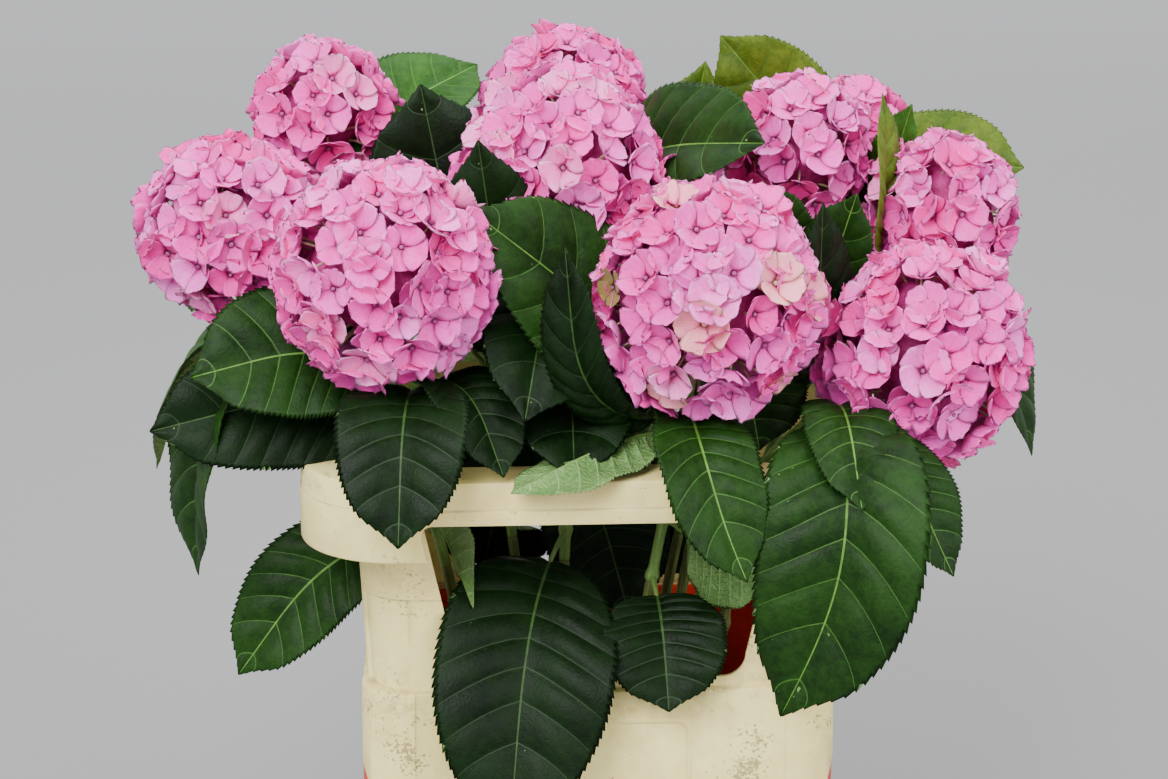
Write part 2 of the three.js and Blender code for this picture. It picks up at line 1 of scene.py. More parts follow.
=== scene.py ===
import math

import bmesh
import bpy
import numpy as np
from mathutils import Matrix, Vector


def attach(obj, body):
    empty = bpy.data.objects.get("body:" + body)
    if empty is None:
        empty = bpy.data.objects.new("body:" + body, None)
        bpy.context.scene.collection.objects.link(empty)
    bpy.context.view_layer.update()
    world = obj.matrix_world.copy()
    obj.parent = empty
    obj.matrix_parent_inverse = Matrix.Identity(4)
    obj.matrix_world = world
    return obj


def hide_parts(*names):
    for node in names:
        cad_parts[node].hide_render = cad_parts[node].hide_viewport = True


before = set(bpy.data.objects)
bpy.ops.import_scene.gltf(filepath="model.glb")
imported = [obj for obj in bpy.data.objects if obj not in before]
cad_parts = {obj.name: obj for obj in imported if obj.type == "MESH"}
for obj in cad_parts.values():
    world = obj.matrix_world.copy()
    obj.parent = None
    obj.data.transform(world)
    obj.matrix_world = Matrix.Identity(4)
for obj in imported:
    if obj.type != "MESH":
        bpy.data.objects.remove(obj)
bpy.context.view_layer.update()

# Twelve cut hydrangea stems standing in a two-part flower bucket: an orange-red bucket under a cream
# collar, bare canes, leafy shoots and round pink heads of four-petalled florets.
#
# Sizes are in millimetres and angles in degrees, in the frame of the solids: +Z up, +X along the
# bucket's long side, -Y to the front. A mesh is made in metres.

MM = 0.001

# ---------------------------------------------------------------- driving sizes

GAP = 0.3  # between a cane's foot and the bucket's floor

# Half length, half width and corner radius of the walls at a height. The bands are sunk between heights.
BUCKET = dict(
    floor=5, wall=3.5, foot=(141, 96, 34), shoulder=(162, 112, 36), shoulder_z=194,
    neck=(157.6, 107.6, 32), rim_z=274, bevel=4, bands=((22, 40), (118, 134)), band_depth=0.8, lip=0.9,
)
COLLAR = dict(
    wall=3, hem_z=197, hem=(163, 113, 36), ledge_z=278, ledge=(162, 112, 36), waist=(158.6, 108.6, 33),
    throat=(166.5, 116.5, 40), rim=(200, 150, 66), rim_z=440, skirt_z=386,
)
CORNER = dict(facet_top=345, facet=0.27, proud=0.9)  # the collar's corners: a flat facet above the ledge
SKIRT = dict(line_z=421, step=0.9, round=2.2)
WINDOW = dict(bottom_z=286, top_z=411, corner=16, top_corner=7, long_side=(95, 120), short_side=(50, 66))
ARCH = dict(half_width=98, apex_z=237, below=8)  # cut in the collar's hem at both ends
GRIP = dict(clearance=0.8, proud=1.2, sunk=1, above_arch=4, cut_past=10)  # the bucket's panel in each arch
# The raised line on the long sides: its bead is so far to each side of its middle, and so far proud.
PANEL = dict(half_width=60, bottom_z=207, top_z=256, corner=9, bead=2.4, bead_proud=1.3, sunk=0.4)
CORNER_STEPS = 20
CUT_REACH = 300  # past every wall that a cutter goes through
EDGE = dict(collar=0.5, bucket=0.4)  # the radius of moulded edges
SHARP = dict(rounded=35, shaded=28)  # edges past these angles are rounded, then drawn sharp

CANE_TOP = 336  # height where the bare cane ends and the leafy shoot goes on
STEM = dict(foot_radius=4.8, neck_radius=3.2, upright=0.45, sweep=0.34, sides=14, steps=150)
JOINT = dict(spacing=58, swell=1.5, reach=4.5)  # the rings where lower leaves were
HEAD = dict(
    florets_at_75=116, tall=1.08, underside=0.8, neck_down=0.98, eye_share=0.83, inner_share=0.76,
    inner_part=0.2, branch_share=0.4, core_share=0.68, core_waist=0.4, core_lumps=0.05,
)
EYE = dict(along=(-0.4, 0.5, 1.5, 2.1), radii=(0.9, 1.75, 1.45, 0.5))
FLORET_STALK = dict(radii=(1.5, 0.8), steps=7, bend=0.45)
PETAL = dict(
    length=20, width=0.62, rise=(0.42, 0.92), imbricate=0.12, thick=0.35, foot=0.6, notch=0.09, skew=0.08,
    droop=0.16, wave=0.035,
)
PETAL_ROWS = np.array([0.04, 0.2, 0.4, 0.6, 0.78, 0.92, 0.99])
PETAL_COLUMNS = np.array([-1, -0.72, -0.38, 0, 0.38, 0.72, 1])

LEAF = dict(
    knee=0.42, stalk=0.15, fold=14, stalk_radius=2.1, rib_radius=1.7, thick=0.55, quilt=0.022, wave=0.05,
    curl=0.05, waves=(1.6, 3.2), vein_ridge=0.35, midrib_ridge=0.5, root_swell=1.2, root_reach=5,
)
RIB_STEPS = 160
TEETH = 36
VEIN_TEETH = 4  # teeth from one side vein to the next
TOOTH = dict(height=1.9, lean=0.5, point=0.6)  # a tooth's point lies at 0.6 from notch to notch
VEIN_HALF = 0.5
MIDRIB_HALF = 1.1
VEIN_SWEEP = 0.6
BLADE_COLUMNS = np.array([0, 0.2, 0.4, 0.6, 0.78, 0.92, 1])


def leaf_down(down, tip, bend, width, **own):
    """A leaf that springs from its stem so far down from the head and ends at its tip. It droops by its bend,
    most of it about its knee, and may turn its upper side to a direction, its face."""
    return dict(down=down, tip=tip, bend=bend, width=width, **own)


def leaf_at(height, tip, bend, width, **own):
    """A leaf that springs from its stem at a height."""
    return dict(height=height, tip=tip, bend=bend, width=width, **own)


# The stems, by where their heads stand. A head leans by (x, y) from upright.
STEMS = {
    "left": dict(
        foot=(-84, -6), centre=(-243, -30, 582), lean=(-0.66, -0.05), radius=61,
        leaves=[
            leaf_down(14, (-272, -72, 352), 62, 78, face=(-1, -0.5, 0.2), tint="green"),
            leaf_down(34, (-303, -18, 411), 80, 76),
            leaf_at(370, (-250, -44, 268), 40, 76, face=(-0.2, -1, 0.5), tint="green"),
            leaf_at(392, (-86, -114, 340), 20, 72, face=(0.3, 0.9, 0.5)),
            leaf_down(22, (-286, 104, 492), 70, 80),
            leaf_down(84, (-226, 52, 432), 80, 84),
        ],
    ),
    "front_left": dict(
        foot=(-58, -40), centre=(-141, -115, 571), lean=(-0.2, -0.34), radius=73,
        leaves=[
            leaf_down(24, (-134, -196, 412), 85, 86, tint="deep"),
            leaf_down(30, (-268, -112, 503), 50, 98, face=(0, -1, 0.75), tint="green"),
            leaf_down(26, (-66, -158, 446), 90, 66, tint="deep"),
            leaf_down(72, (-298, -96, 462), 45, 90, face=(0, -1, 0.35), tint="deep"),
        ],
    ),
    "middle": dict(
        foot=(-34, -56), centre=(-22, 0, 609), lean=(-0.05, -0.1), radius=73,
        leaves=[
            leaf_down(20, (-117, 30, 670), -80, 118, knee=0.3, face=(0, -1, 0.3), tint="deep"),
            leaf_down(44, (-79, -60, 648), -70, 78, knee=0.3, face=(0, -1, 0.2), tint="deep"),
            leaf_down(30, (-52, -152, 482), 70, 90, face=(0, -1, 0.3), tint="deep"),
            leaf_down(80, (-20, -150, 440), 60, 92, face=(0, -1, 0.4), tint="deep"),
            leaf_at(358, (-64, -164, 200), 62, 124, stalk=0.2, face=(0, -1, 0.35), tint="deep"),
            leaf_down(112, (-96, -78, 410), 40, 84, face=(0, -1, 0.3), tint="deep"),
        ],
    ),
    "front_right": dict(
        foot=(8, -50), centre=(67, -125, 554), lean=(0.1, -0.4), radius=77,
        leaves=[
            leaf_down(12, (88, -198, 386), 70, 70, bow=-15, tint="green"),
            leaf_down(70, (-86, -98, 610), 34, 108, face=(0.3, -0.9, 0.6), tint="green"),
            leaf_down(20, (-26, -152, 596), -80, 44, face=(-0.6, -1, 0.3), tint="deep"),
            leaf_at(456, (-62, -176, 441), 12, 60, face=(0, 0.1, -1)),
            leaf_at(384, (112, -114, 352), 10, 96, face=(-0.1, 1, 0.3)),
            leaf_at(340, (44, -136, 272), 44, 86, stalk=0.22, face=(0, -1, 0.5), tint="deep"),
        ],
    ),
    "front_far_right": dict(
        foot=(72, -30), centre=(215, -88, 506), lean=(0.8, -0.2), radius=73,
        leaves=[
            leaf_down(14, (112, -190, 290), 98, 112, knee=0.36, bow=38, tint="green"),
            leaf_down(2, (161, -194, 432), 66, 62, face=(0, -0.8, 1), tint="green"),
            leaf_down(20, (226, -172, 378), 90, 60, stalk=0.4, bow=-14, tint="green"),
        ],
    ),
    "right": dict(
        foot=(84, 8), centre=(245, 25, 575), lean=(0.68, 0.06), radius=54,
        leaves=[
            leaf_down(16, (200, 14, 664), -30, 44, face=(1, -0.6, 0.2), tint="olive"),
            leaf_down(26, (304, -38, 417), 80, 76),
            leaf_down(60, (314, 84, 440), 95, 88),
            leaf_down(90, (146, -90, 610), -60, 50, face=(0.4, -1, 0.2)),
            leaf_down(100, (226, 4, 436), 80, 84),
        ],
    ),
    "upper_right": dict(
        foot=(44, 22), centre=(148, 48, 616), lean=(0.28, 0.08), radius=51,
        leaves=[
            leaf_down(37, (112, -50, 615), -40, 70, face=(0, -1, 0.6), tint="green"),
            leaf_down(60, (176, -40, 605), -60, 60, face=(-0.2, -1, 0.2)),
            leaf_down(110, (112, -50, 428), 50, 80, face=(0, -1, 0.3)),
            leaf_at(372, (112, 88, 300), 20, 80, face=(0, -1, 0.2), tint="deep"),
        ],
    ),
    "back": dict(
        foot=(-8, 50), centre=(-12, 142, 624), lean=(0, 0.3), radius=65,
        leaves=[
            leaf_down(14, (112, -50, 642), 36, 96, face=(0.1, -0.9, 0.7), tint="green"),
            leaf_down(40, (88, 118, 670), -60, 74, face=(0, -1, 0.3), tint="olive"),
            leaf_down(24, (-44, 256, 500), 80, 96),
            leaf_down(60, (60, 244, 460), 80, 92),
            leaf_down(100, (36, -40, 440), 60, 84, face=(0, -1, 0.4), tint="deep"),
            leaf_at(398, (26, -6, 292), 16, 92, face=(0, -1, 0.2), tint="deep"),
        ],
    ),
    "back_left": dict(
        foot=(-62, 34), centre=(-186, 100, 636), lean=(-0.35, 0.25), radius=49,
        leaves=[
            leaf_down(20, (-76, 150, 664), 55, 84, face=(0, -0.6, 1), tint="fresh"),
            leaf_down(40, (-300, 112, 540), 60, 84),
            leaf_down(50, (-180, 226, 500), 80, 90),
            leaf_down(150, (-206, 96, 434), 70, 84),
        ],
    ),
    "back_right": dict(
        foot=(64, 50), centre=(200, 145, 604), lean=(0.33, 0.33), radius=45,
        leaves=[
            leaf_down(20, (96, 95, 692), 25, 84, face=(0, -1, 0.2), tint="olive"),
            leaf_down(14, (229, 60, 648), -50, 44, face=(-0.6, -0.8, 0.3), tint="fresh"),
            leaf_down(22, (310, 56, 602), 48, 84, face=(0, -0.9, 0.8), tint="olive"),
            leaf_down(40, (306, 196, 500), 70, 84),
            leaf_down(58, (196, 250, 470), 85, 90),
            leaf_down(130, (226, 84, 430), 80, 84),
        ],
    ),
    "rear_left": dict(
        foot=(-34, 42), centre=(-78, 110, 518), lean=(-0.1, 0.45), radius=52,
        leaves=[
            leaf_down(24, (-160, 190, 420), 80, 88),
            leaf_down(30, (-60, 220, 372), 110, 96, knee=0.35),
            leaf_at(366, (-76, 92, 296), 20, 86, face=(0, -1, 0.2), tint="deep"),
        ],
    ),
    "rear_right": dict(
        foot=(30, 52), centre=(110, 114, 540), lean=(0.18, 0.45), radius=52,
        leaves=[
            leaf_down(20, (190, 200, 420), 80, 92),
            leaf_down(24, (96, 222, 380), 110, 94, knee=0.35),
            leaf_at(398, (40, 86, 288), 16, 96, face=(0, -1, 0.2), tint="deep"),
        ],
    ),
}

SEED = dict(leaves=31, florets=17)

# The masses that are joined into one piece of each kind.
GROUPS = {
    "left": ("left", "front_left", "back_left"),
    "front": ("middle", "front_right"),
    "right": ("front_far_right", "right", "upper_right", "back_right"),
    "rear": ("back", "rear_left", "rear_right"),
}

# ---------------------------------------------------------------- small helpers


def unit(v):
    """v / |v| along the last axis."""
    return v / np.linalg.norm(v, axis=-1, keepdims=True)


def smooth(x, low, high):
    """3 s^2 - 2 s^3 with s = (x - low) / (high - low), held within 0 and 1."""
    s = np.clip((x - low) / (high - low), 0, 1)
    return s * s * (3 - 2 * s)


def read(values, stations, where):
    """Rows of values told at stations, read in between at an array of places."""
    return np.stack([np.interp(where, stations, column) for column in values.T], -1)


class Line:
    """A smooth line told by close points and read at shares of its length."""

    def __init__(self, points):
        self.points = points
        steps = np.linalg.norm(np.diff(points, axis=0), axis=1)
        self.run = np.concatenate([[0], np.cumsum(steps)])
        self.length = self.run[-1]

    def at(self, share):
        """Points at shares of the length."""
        return read(self.points, self.run, np.asarray(share) * self.length)

    def share_at_height(self, z):
        """The share of the length at which a rising line reaches a height."""
        return np.interp(z, self.points[:, 2], self.run) / self.length


class Joined:
    """Points, faces, UVs and finishes of many small shapes, gathered for one mesh."""

    def __init__(self):
        self.points, self.uvs, self.faces, self.kinds = [], [], [], []
        self.count = 0

    def add(self, points, uvs, faces_and_kinds):
        """points (n, 3) and uvs (n, 2); each faces array has a row of corners a face, and a finish number."""
        for faces, kinds in faces_and_kinds:
            self.faces.append(faces + self.count)
            self.kinds.append(np.broadcast_to(kinds, len(faces)))
        self.points.append(points)
        self.uvs.append(uvs)
        self.count += len(points)


def placed(name, data):
    """A new object of its data, in the scene."""
    thing = bpy.data.objects.new(name, data)
    bpy.context.scene.collection.objects.link(thing)
    return thing


def settle(thing, nodes=()):
    """The piece rides on the root body and stands for its nodes."""
    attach(thing, "root")
    if nodes:
        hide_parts(*nodes)


def piece(name, shape, finishes, nodes=()):
    """One smooth object at the origin, with its place in its mesh."""
    points = np.concatenate(shape.points) * MM
    uvs = np.concatenate(shape.uvs)
    corners = np.concatenate([faces.ravel() for faces in shape.faces])
    sizes = np.concatenate([np.full(len(faces), faces.shape[1]) for faces in shape.faces])
    starts = np.concatenate([[0], np.cumsum(sizes)[:-1]])
    mesh = bpy.data.meshes.new(name)
    mesh.vertices.add(len(points))
    mesh.vertices.foreach_set("co", points.astype(np.float32).ravel())
    mesh.loops.add(len(corners))
    mesh.loops.foreach_set("vertex_index", corners.astype(np.int32))
    mesh.polygons.add(len(sizes))
    mesh.polygons.foreach_set("loop_start", starts.astype(np.int32))
    mesh.polygons.foreach_set("material_index", np.concatenate(shape.kinds).astype(np.int32))
    mesh.polygons.foreach_set("use_smooth", np.full(len(sizes), True))
    layer = mesh.uv_layers.new(name="UVMap")
    layer.data.foreach_set("uv", uvs[corners].astype(np.float32).ravel())
    mesh.update(calc_edges=True)
    for finish in finishes:
        mesh.materials.append(finish)
    settle(placed(name, mesh), nodes)


def sheet_faces(count, rows, columns):
    """Corner numbers of `count` closed sheets, upper faces and under faces. Upper grids come first, point
    after point; the under grids share their rims and have only inner points of their own."""
    upper = np.arange(count * rows * columns).reshape(count, rows, columns)
    under = upper.copy()
    inner = np.arange(count * (rows - 2) * (columns - 2))
    under[:, 1:-1, 1:-1] = upper.size + inner.reshape(count, rows - 2, columns - 2)

    def quads(grid):
        """A face for each cell of the grids."""
        return np.stack([grid[:, :-1, :-1], grid[:, :-1, 1:], grid[:, 1:, 1:], grid[:, 1:, :-1]], -1)

    return quads(upper), quads(under)[..., ::-1]


def add_sheets(shape, upper, under, uv, upper_kinds, under_kinds):
    """Closed sheets from grids (count, rows, columns, 3) of upper and under points."""
    count, rows, columns = upper.shape[:3]
    over_faces, under_faces = sheet_faces(count, rows, columns)
    points = np.concatenate([upper.reshape(-1, 3), under[:, 1:-1, 1:-1].reshape(-1, 3)])
    uvs = np.concatenate([uv.reshape(-1, 2), uv[:, 1:-1, 1:-1].reshape(-1, 2)])
    cells = over_faces.shape[:3]
    shape.add(points, uvs, [
        (over_faces.reshape(-1, 4), np.broadcast_to(upper_kinds, cells).ravel()),
        (under_faces.reshape(-1, 4), np.broadcast_to(under_kinds, cells).ravel()),
    ])


def ring_walls(below, above):
    """Corner numbers of the quads between closed rings and the ones above them."""
    return np.stack([below, np.roll(below, -1, axis=-1), np.roll(above, -1, axis=-1), above], -1)


def add_tubes(shape, lines, radii, sides, kinds=0):
    """Round tubes along lines (count, steps, 3). A ring is p + r (cos a side + sin a up), where side is
    square to the tube, as near as it can be to a direction square to the line's chord."""
    count, steps = lines.shape[:2]
    along = unit(np.gradient(lines, axis=1))
    chord = unit(lines[:, -1] - lines[:, 0])
    upright = np.abs(chord[:, 2:]) > 0.9
    level = unit(np.cross(chord, np.where(upright, (0.0, 1.0, 0.0), (0.0, 0.0, 1.0))))[:, None]
    side = unit(level - (level * along).sum(-1, keepdims=True) * along)
    up = np.cross(along, side)
    turn = np.linspace(0, 2 * np.pi, sides, endpoint=False)
    out = side[:, :, None] * np.cos(turn)[:, None] + up[:, :, None] * np.sin(turn)[:, None]
    points = lines[:, :, None] + out * radii[:, :, None, None]
    run = np.linalg.norm(np.diff(lines, axis=1, prepend=lines[:, :1]), axis=-1).cumsum(1)
    uv = np.stack(np.broadcast_arrays(turn * radii.mean(), run[:, :, None]), -1) * MM
    grid = np.arange(count * steps * sides).reshape(count, steps, sides)
    walls = ring_walls(grid[:, :-1], grid[:, 1:])
    wall_kinds = np.broadcast_to(np.reshape(kinds, (-1, 1, 1)), walls.shape[:3])
    end_kinds = np.broadcast_to(kinds, count)
    shape.add(points.reshape(-1, 3), uv.reshape(-1, 2), [
        (walls.reshape(-1, 4), wall_kinds.ravel()),
        (grid[:, 0, ::-1], end_kinds),
        (grid[:, -1], end_kinds),
    ])


# ---------------------------------------------------------------- the bucket and its collar


def rounded_ring(size, z, grow=0.0, proud=0.0, facet=0.0):
    """A rounded rectangle, anticlockwise from above. An arc's point lies at its centre + r (cos a, sin a),
    standing proud by a little, and a facet cuts the arc off square at r (1 - facet) from its centre."""
    half_x, half_y, corner = (part + grow for part in size)
    turn = np.radians(np.linspace(0, 90, CORNER_STEPS + 1))
    arc = np.stack([np.cos(turn), np.sin(turn)], -1) * (corner + proud)
    outward = arc @ (math.sqrt(0.5), math.sqrt(0.5))
    beyond = np.maximum(outward - corner * (1 - facet), 0) if facet else np.zeros_like(outward)
    arc = arc - beyond[:, None] * math.sqrt(0.5)
    arc = np.concatenate([[(corner, 0)], arc, [(0, corner)]])
    x = half_x - corner
    y = half_y - corner
    corners = [
        np.stack([x + arc[:, 1], -y - arc[:, 0]], -1),
        np.stack([x + arc[:, 0], y + arc[:, 1]], -1),
        np.stack([-x - arc[:, 1], y + arc[:, 0]], -1),
        np.stack([-x - arc[:, 0], -y - arc[:, 1]], -1),
    ]
    level = np.concatenate(corners)
    return np.column_stack([level, np.full(len(level), z)])


def lofted(rings, sleeve):
    """A wall through rings of equal count, up the outside and down the inside. It closes on itself as a
    sleeve, or is capped at its first and last rings as a bucket."""
    shape = Joined()
    points = np.stack(rings)
    levels, around = points.shape[:2]
    grid = np.arange(levels * around).reshape(levels, around)
    below = grid if sleeve else grid[:-1]
    above = np.roll(grid, -1, axis=0) if sleeve else grid[1:]
    walls = ring_walls(below, above)
    uv = np.stack(np.broadcast_arrays(np.arange(around) * MM, points[:, :, 2] * MM), -1)
    faces = [(walls.reshape(-1, 4), 0)]
    if not sleeve:
        faces += [(grid[:1, ::-1], 0), (grid[-1:], 0)]
    shape.add(points.reshape(-1, 3), uv.reshape(-1, 2), faces)
    return shape


def prism(outline, axis, reach):
    """A closed bar that an outline of (across, height) points makes along X or Y, from -reach to reach."""
    across, height = np.array(outline, float).T
    ends = [np.stack([across, np.full(len(across), far), height], -1) for far in (reach, -reach)]
    points = np.stack(ends)
    if axis == "x":
        points = points[..., [1, 0, 2]] * (-1, 1, 1)
    count = len(across)
    near = np.arange(count)
    walls = ring_walls(near, near + count)
    shape = Joined()
    uv = np.zeros((2 * count, 2))
    caps = [(near[None, ::-1], 0), (near[None] + count, 0)]
    shape.add(points.reshape(-1, 3), uv, [(walls, 0), *caps])
    return shape


def arch_outline(inset):
    """Half an ellipse over the collar's hem, closed a little below it."""
    half = ARCH["half_width"] - inset
    rise = ARCH["apex_z"] - COLLAR["hem_z"] - inset
    turn = np.radians(np.linspace(0, 180, 41))
    arch = np.stack([half * np.cos(turn), COLLAR["hem_z"] + rise * np.sin(turn)], -1)
    foot_z = COLLAR["hem_z"] - ARCH["below"]
    return [*arch, (-half, foot_z), (half, foot_z)]


def window_outline(halves):
    """Wider at the top, with rounded lower corners and small upper ones."""
    bottom_half, top_half = halves
    bottom_z, top_z, corner, upper = (WINDOW[key] for key in ("bottom_z", "top_z", "corner", "top_corner"))
    slope = (top_half - bottom_half) / (top_z - bottom_z)
    low = np.radians(np.linspace(-90, 0, 10))
    high = np.radians(np.linspace(0, 90, 6))
    low_half = bottom_half + slope * corner - corner
    right = [(low_half + corner * math.cos(a), bottom_z + corner + corner * math.sin(a)) for a in low]
    right += [(top_half - upper + upper * math.cos(a), top_z - upper + upper * math.sin(a)) for a in high]
    return right + [(-x, z) for x, z in reversed(right)]


def object_of(name, shape):
    """A plain object of a shape, for cutting."""
    points = np.concatenate(shape.points) * MM
    mesh = bpy.data.meshes.new(name)
    mesh.from_pydata(points.tolist(), [], [face for faces in shape.faces for face in faces.tolist()])
    merged = bmesh.new()
    merged.from_mesh(mesh)
    bmesh.ops.remove_doubles(merged, verts=merged.verts, dist=1e-6)
    merged.to_mesh(mesh)
    merged.free()
    return placed(name, mesh)


def keep_result(thing):
    """The modifiers' result becomes the thing's own mesh."""
    shown = thing.evaluated_get(bpy.context.evaluated_depsgraph_get())
    mesh = bpy.data.meshes.new_from_object(shown)
    thing.modifiers.clear()
    thing.data = mesh


def cut(thing, shapes, operation="DIFFERENCE"):
    """The thing less closed shapes, or only what it shares with them."""
    tools = [object_of("cutter", shape) for shape in shapes]
    for tool in tools:
        modifier = thing.modifiers.new("cut", "BOOLEAN")
        modifier.operation = operation
        modifier.solver = "EXACT"
        modifier.object = tool
    keep_result(thing)
    for tool in tools:
        bpy.data.objects.remove(tool)


def finish_moulding(thing, radius, finish, nodes=()):
    """Rounds the sharp edges of a moulded wall, shades it smooth between them and makes it a piece."""
    bevel = thing.modifiers.new("edges", "BEVEL")
    bevel.width = radius * MM
    bevel.segments = 2
    bevel.limit_method = "ANGLE"
    bevel.angle_limit = math.radians(SHARP["rounded"])
    keep_result(thing)
    thing.data.name = thing.name
    thing.data.shade_smooth()
    thing.data.set_sharp_from_angle(angle=math.radians(SHARP["shaded"]))
    thing.data.materials.append(finish)
    settle(thing, nodes)


def make_collar(finish):
    """The cream collar: an apron over the bucket's neck, a ledge, four corner posts with flat facets, and
    a wide rim with a skirt. A window is cut in each wall, and an arch in the hem at each end."""
    wall, hem_z, hem, ledge_z, ledge, waist, throat, rim, rim_z, skirt_z = COLLAR.values()
    facet_z, facet, proud = CORNER.values()
    line_z, step, curl = SKIRT.values()
    share = (facet_z - ledge_z) / (rim_z - ledge_z)
    middle = tuple(low + (high - low) * share for low, high in zip(waist, throat))
    # Size, height and growth of each ring, up the outside and down the inside.
    apron = [
        (hem, hem_z, 0.7), (hem, hem_z + 3, 0.7), (hem, hem_z + 4.5), (ledge, ledge_z - 1.6),
        (ledge, ledge_z - 0.5, -0.5), (ledge, ledge_z, -1.7),
    ]
    posts = [(waist, ledge_z + 1.5), (middle, facet_z)]
    rim_and_inside = [
        (middle, facet_z + 1.2), (throat, rim_z - 8), (throat, rim_z - 4, 3), (rim, rim_z - 4, -5.5),
        (rim, rim_z - 6, -3.4), (rim, skirt_z + 1, -3), (rim, skirt_z, -2.4), (rim, skirt_z, -0.6 + step),
        (rim, skirt_z + 1.2, step), (rim, line_z - 1, step), (rim, line_z), (rim, rim_z - curl),
        (rim, rim_z - curl * 0.3, -curl * 0.3), (rim, rim_z, -curl), (throat, rim_z, -wall + 2),
        (throat, rim_z - 2, -wall), (waist, ledge_z, -wall), (ledge, ledge_z - 3.7, -wall),
        (hem, hem_z, -wall),
    ]
    rings = [rounded_ring(*place, proud=proud) for place in apron]
    rings += [rounded_ring(*place, facet=facet) for place in posts]
    rings += [rounded_ring(*place) for place in rim_and_inside]
    thing = object_of("collar_shell", lofted(rings, sleeve=True))
    cut(thing, [
        prism(window_outline(WINDOW["long_side"]), "y", CUT_REACH),
        prism(window_outline(WINDOW["short_side"]), "x", CUT_REACH),
        prism(arch_outline(0), "x", CUT_REACH),
    ])
    finish_moulding(thing, EDGE["collar"], finish, ["collar"])


def make_panel_lines(finish):
    """A raised line round a plain panel on each long side of the apron: a low round bead whose middle runs
    on a rounded rectangle."""
    shape = Joined()
    half, low, high, corner, bead, proud, sunk = PANEL.values()
    x, low, high = half - corner, low + corner, high - corner
    quarter = np.radians(np.linspace(0, 90, 7))
    path = np.concatenate([
        middle + corner * np.stack([np.cos(quarter + start), np.sin(quarter + start)], -1)
        for middle, start in zip([(x, high), (-x, high), (-x, low), (x, low)], np.radians((0, 90, 180, 270)))
    ])
    share = (path[:, 1] - COLLAR["hem_z"]) / (COLLAR["ledge_z"] - COLLAR["hem_z"])
    face = COLLAR["hem"][1] + share * (COLLAR["ledge"][1] - COLLAR["hem"][1])
    for side in (-1, 1):
        middle = np.stack([path[:, 0] * -side, side * (face - sunk), path[:, 1]], -1)
        ahead = unit(np.roll(middle, -1, axis=0) - np.roll(middle, 1, axis=0))
        outward = np.array((0, side, 0))
        across = np.cross(ahead, outward)[:, None]
        around = np.linspace(0, 2 * np.pi, 10, endpoint=False)[:, None]
        ring = across * (bead * np.cos(around)) + outward * (proud * np.sin(around))
        points = middle[:, None] + ring
        count, sides = points.shape[:2]
        grid = np.arange(count * sides).reshape(count, sides)
        ahead_grid = np.roll(grid, -1, axis=0)
        walls = np.stack([grid, ahead_grid, np.roll(ahead_grid, -1, axis=1), np.roll(grid, -1, axis=1)], -1)
        shape.add(points.reshape(-1, 3), np.zeros((count * sides, 2)), [(walls.reshape(-1, 4), 0)])
    piece("collar_panel_lines", shape, [finish])


def make_bucket(finish):
    """The orange-red bucket: drawn walls with two soft bands, a bevelled foot, a stepped neck inside the
    collar and a grip panel at each end that fills the collar's arch."""
    floor, wall, foot, shoulder, shoulder_z, neck, rim_z, bevel, bands, depth, lip = BUCKET.values()

    def wall_at(z, grow=0.0):
        """A ring of the drawn wall, whose size goes evenly from foot to shoulder."""
        share = (z - bevel) / (shoulder_z - bevel)
        return rounded_ring(tuple(a + (b - a) * share for a, b in zip(foot, shoulder)), z, grow)

    band_rings = []
    for low, high in bands:
        band_rings += [wall_at(low), wall_at(low + 1.5, -depth), wall_at(high - 1.5, -depth), wall_at(high)]
    neck_and_inside = [
        (shoulder, shoulder_z), (neck, shoulder_z + 1), (neck, rim_z - 1), (neck, rim_z, -1),
        (neck, rim_z, -wall + 1), (neck, rim_z - 1, -wall), (neck, shoulder_z, -wall),
        (shoulder, shoulder_z - 6, -wall), (foot, floor + 6, -wall), (foot, floor, -wall - 6),
    ]
    rings = [
        *(rounded_ring(foot, *place) for place in ((0, -bevel), (bevel * 0.3, -bevel * 0.3), (bevel, 0))),
        *band_rings,
        wall_at(shoulder_z - 8), wall_at(shoulder_z - 7, lip), wall_at(shoulder_z - 1, lip),
        *(rounded_ring(*place) for place in neck_and_inside),
    ]
    thing = object_of("bucket_shell", lofted(rings, sleeve=False))
    finish_moulding(thing, EDGE["bucket"], finish, ["bucket"])

    low_z, top_z = shoulder_z - 1, ARCH["apex_z"] + GRIP["above_arch"]
    sunk, proud = -GRIP["sunk"], GRIP["proud"]
    places = (neck, low_z, sunk), (shoulder, low_z, proud), (shoulder, top_z, proud), (neck, top_z, sunk)
    sleeve = lofted([rounded_ring(*place) for place in places], sleeve=True)
    grips = object_of("bucket_grip_panels", sleeve)
    cut(grips, [prism(arch_outline(GRIP["clearance"]), "x", shoulder[0] + GRIP["cut_past"])], "INTERSECT")
    finish_moulding(grips, EDGE["bucket"], finish)


# ---------------------------------------------------------------- stems


def head_axis(stem):
    """The lean (x, y) and the height that makes it one long."""
    x, y = stem["lean"]
    return np.array((x, y, math.sqrt(1 - x * x - y * y)))


def upright_of(stem):
    """The direction halfway between a head's axis and +Z."""
    return unit(head_axis(stem) + (0, 0, 1))


def seeded(name, kind):
    """Random numbers of a stem's own for its leaves or its florets, the same in each run."""
    return np.random.default_rng(len(name) * SEED[kind] + sum(map(ord, name)))


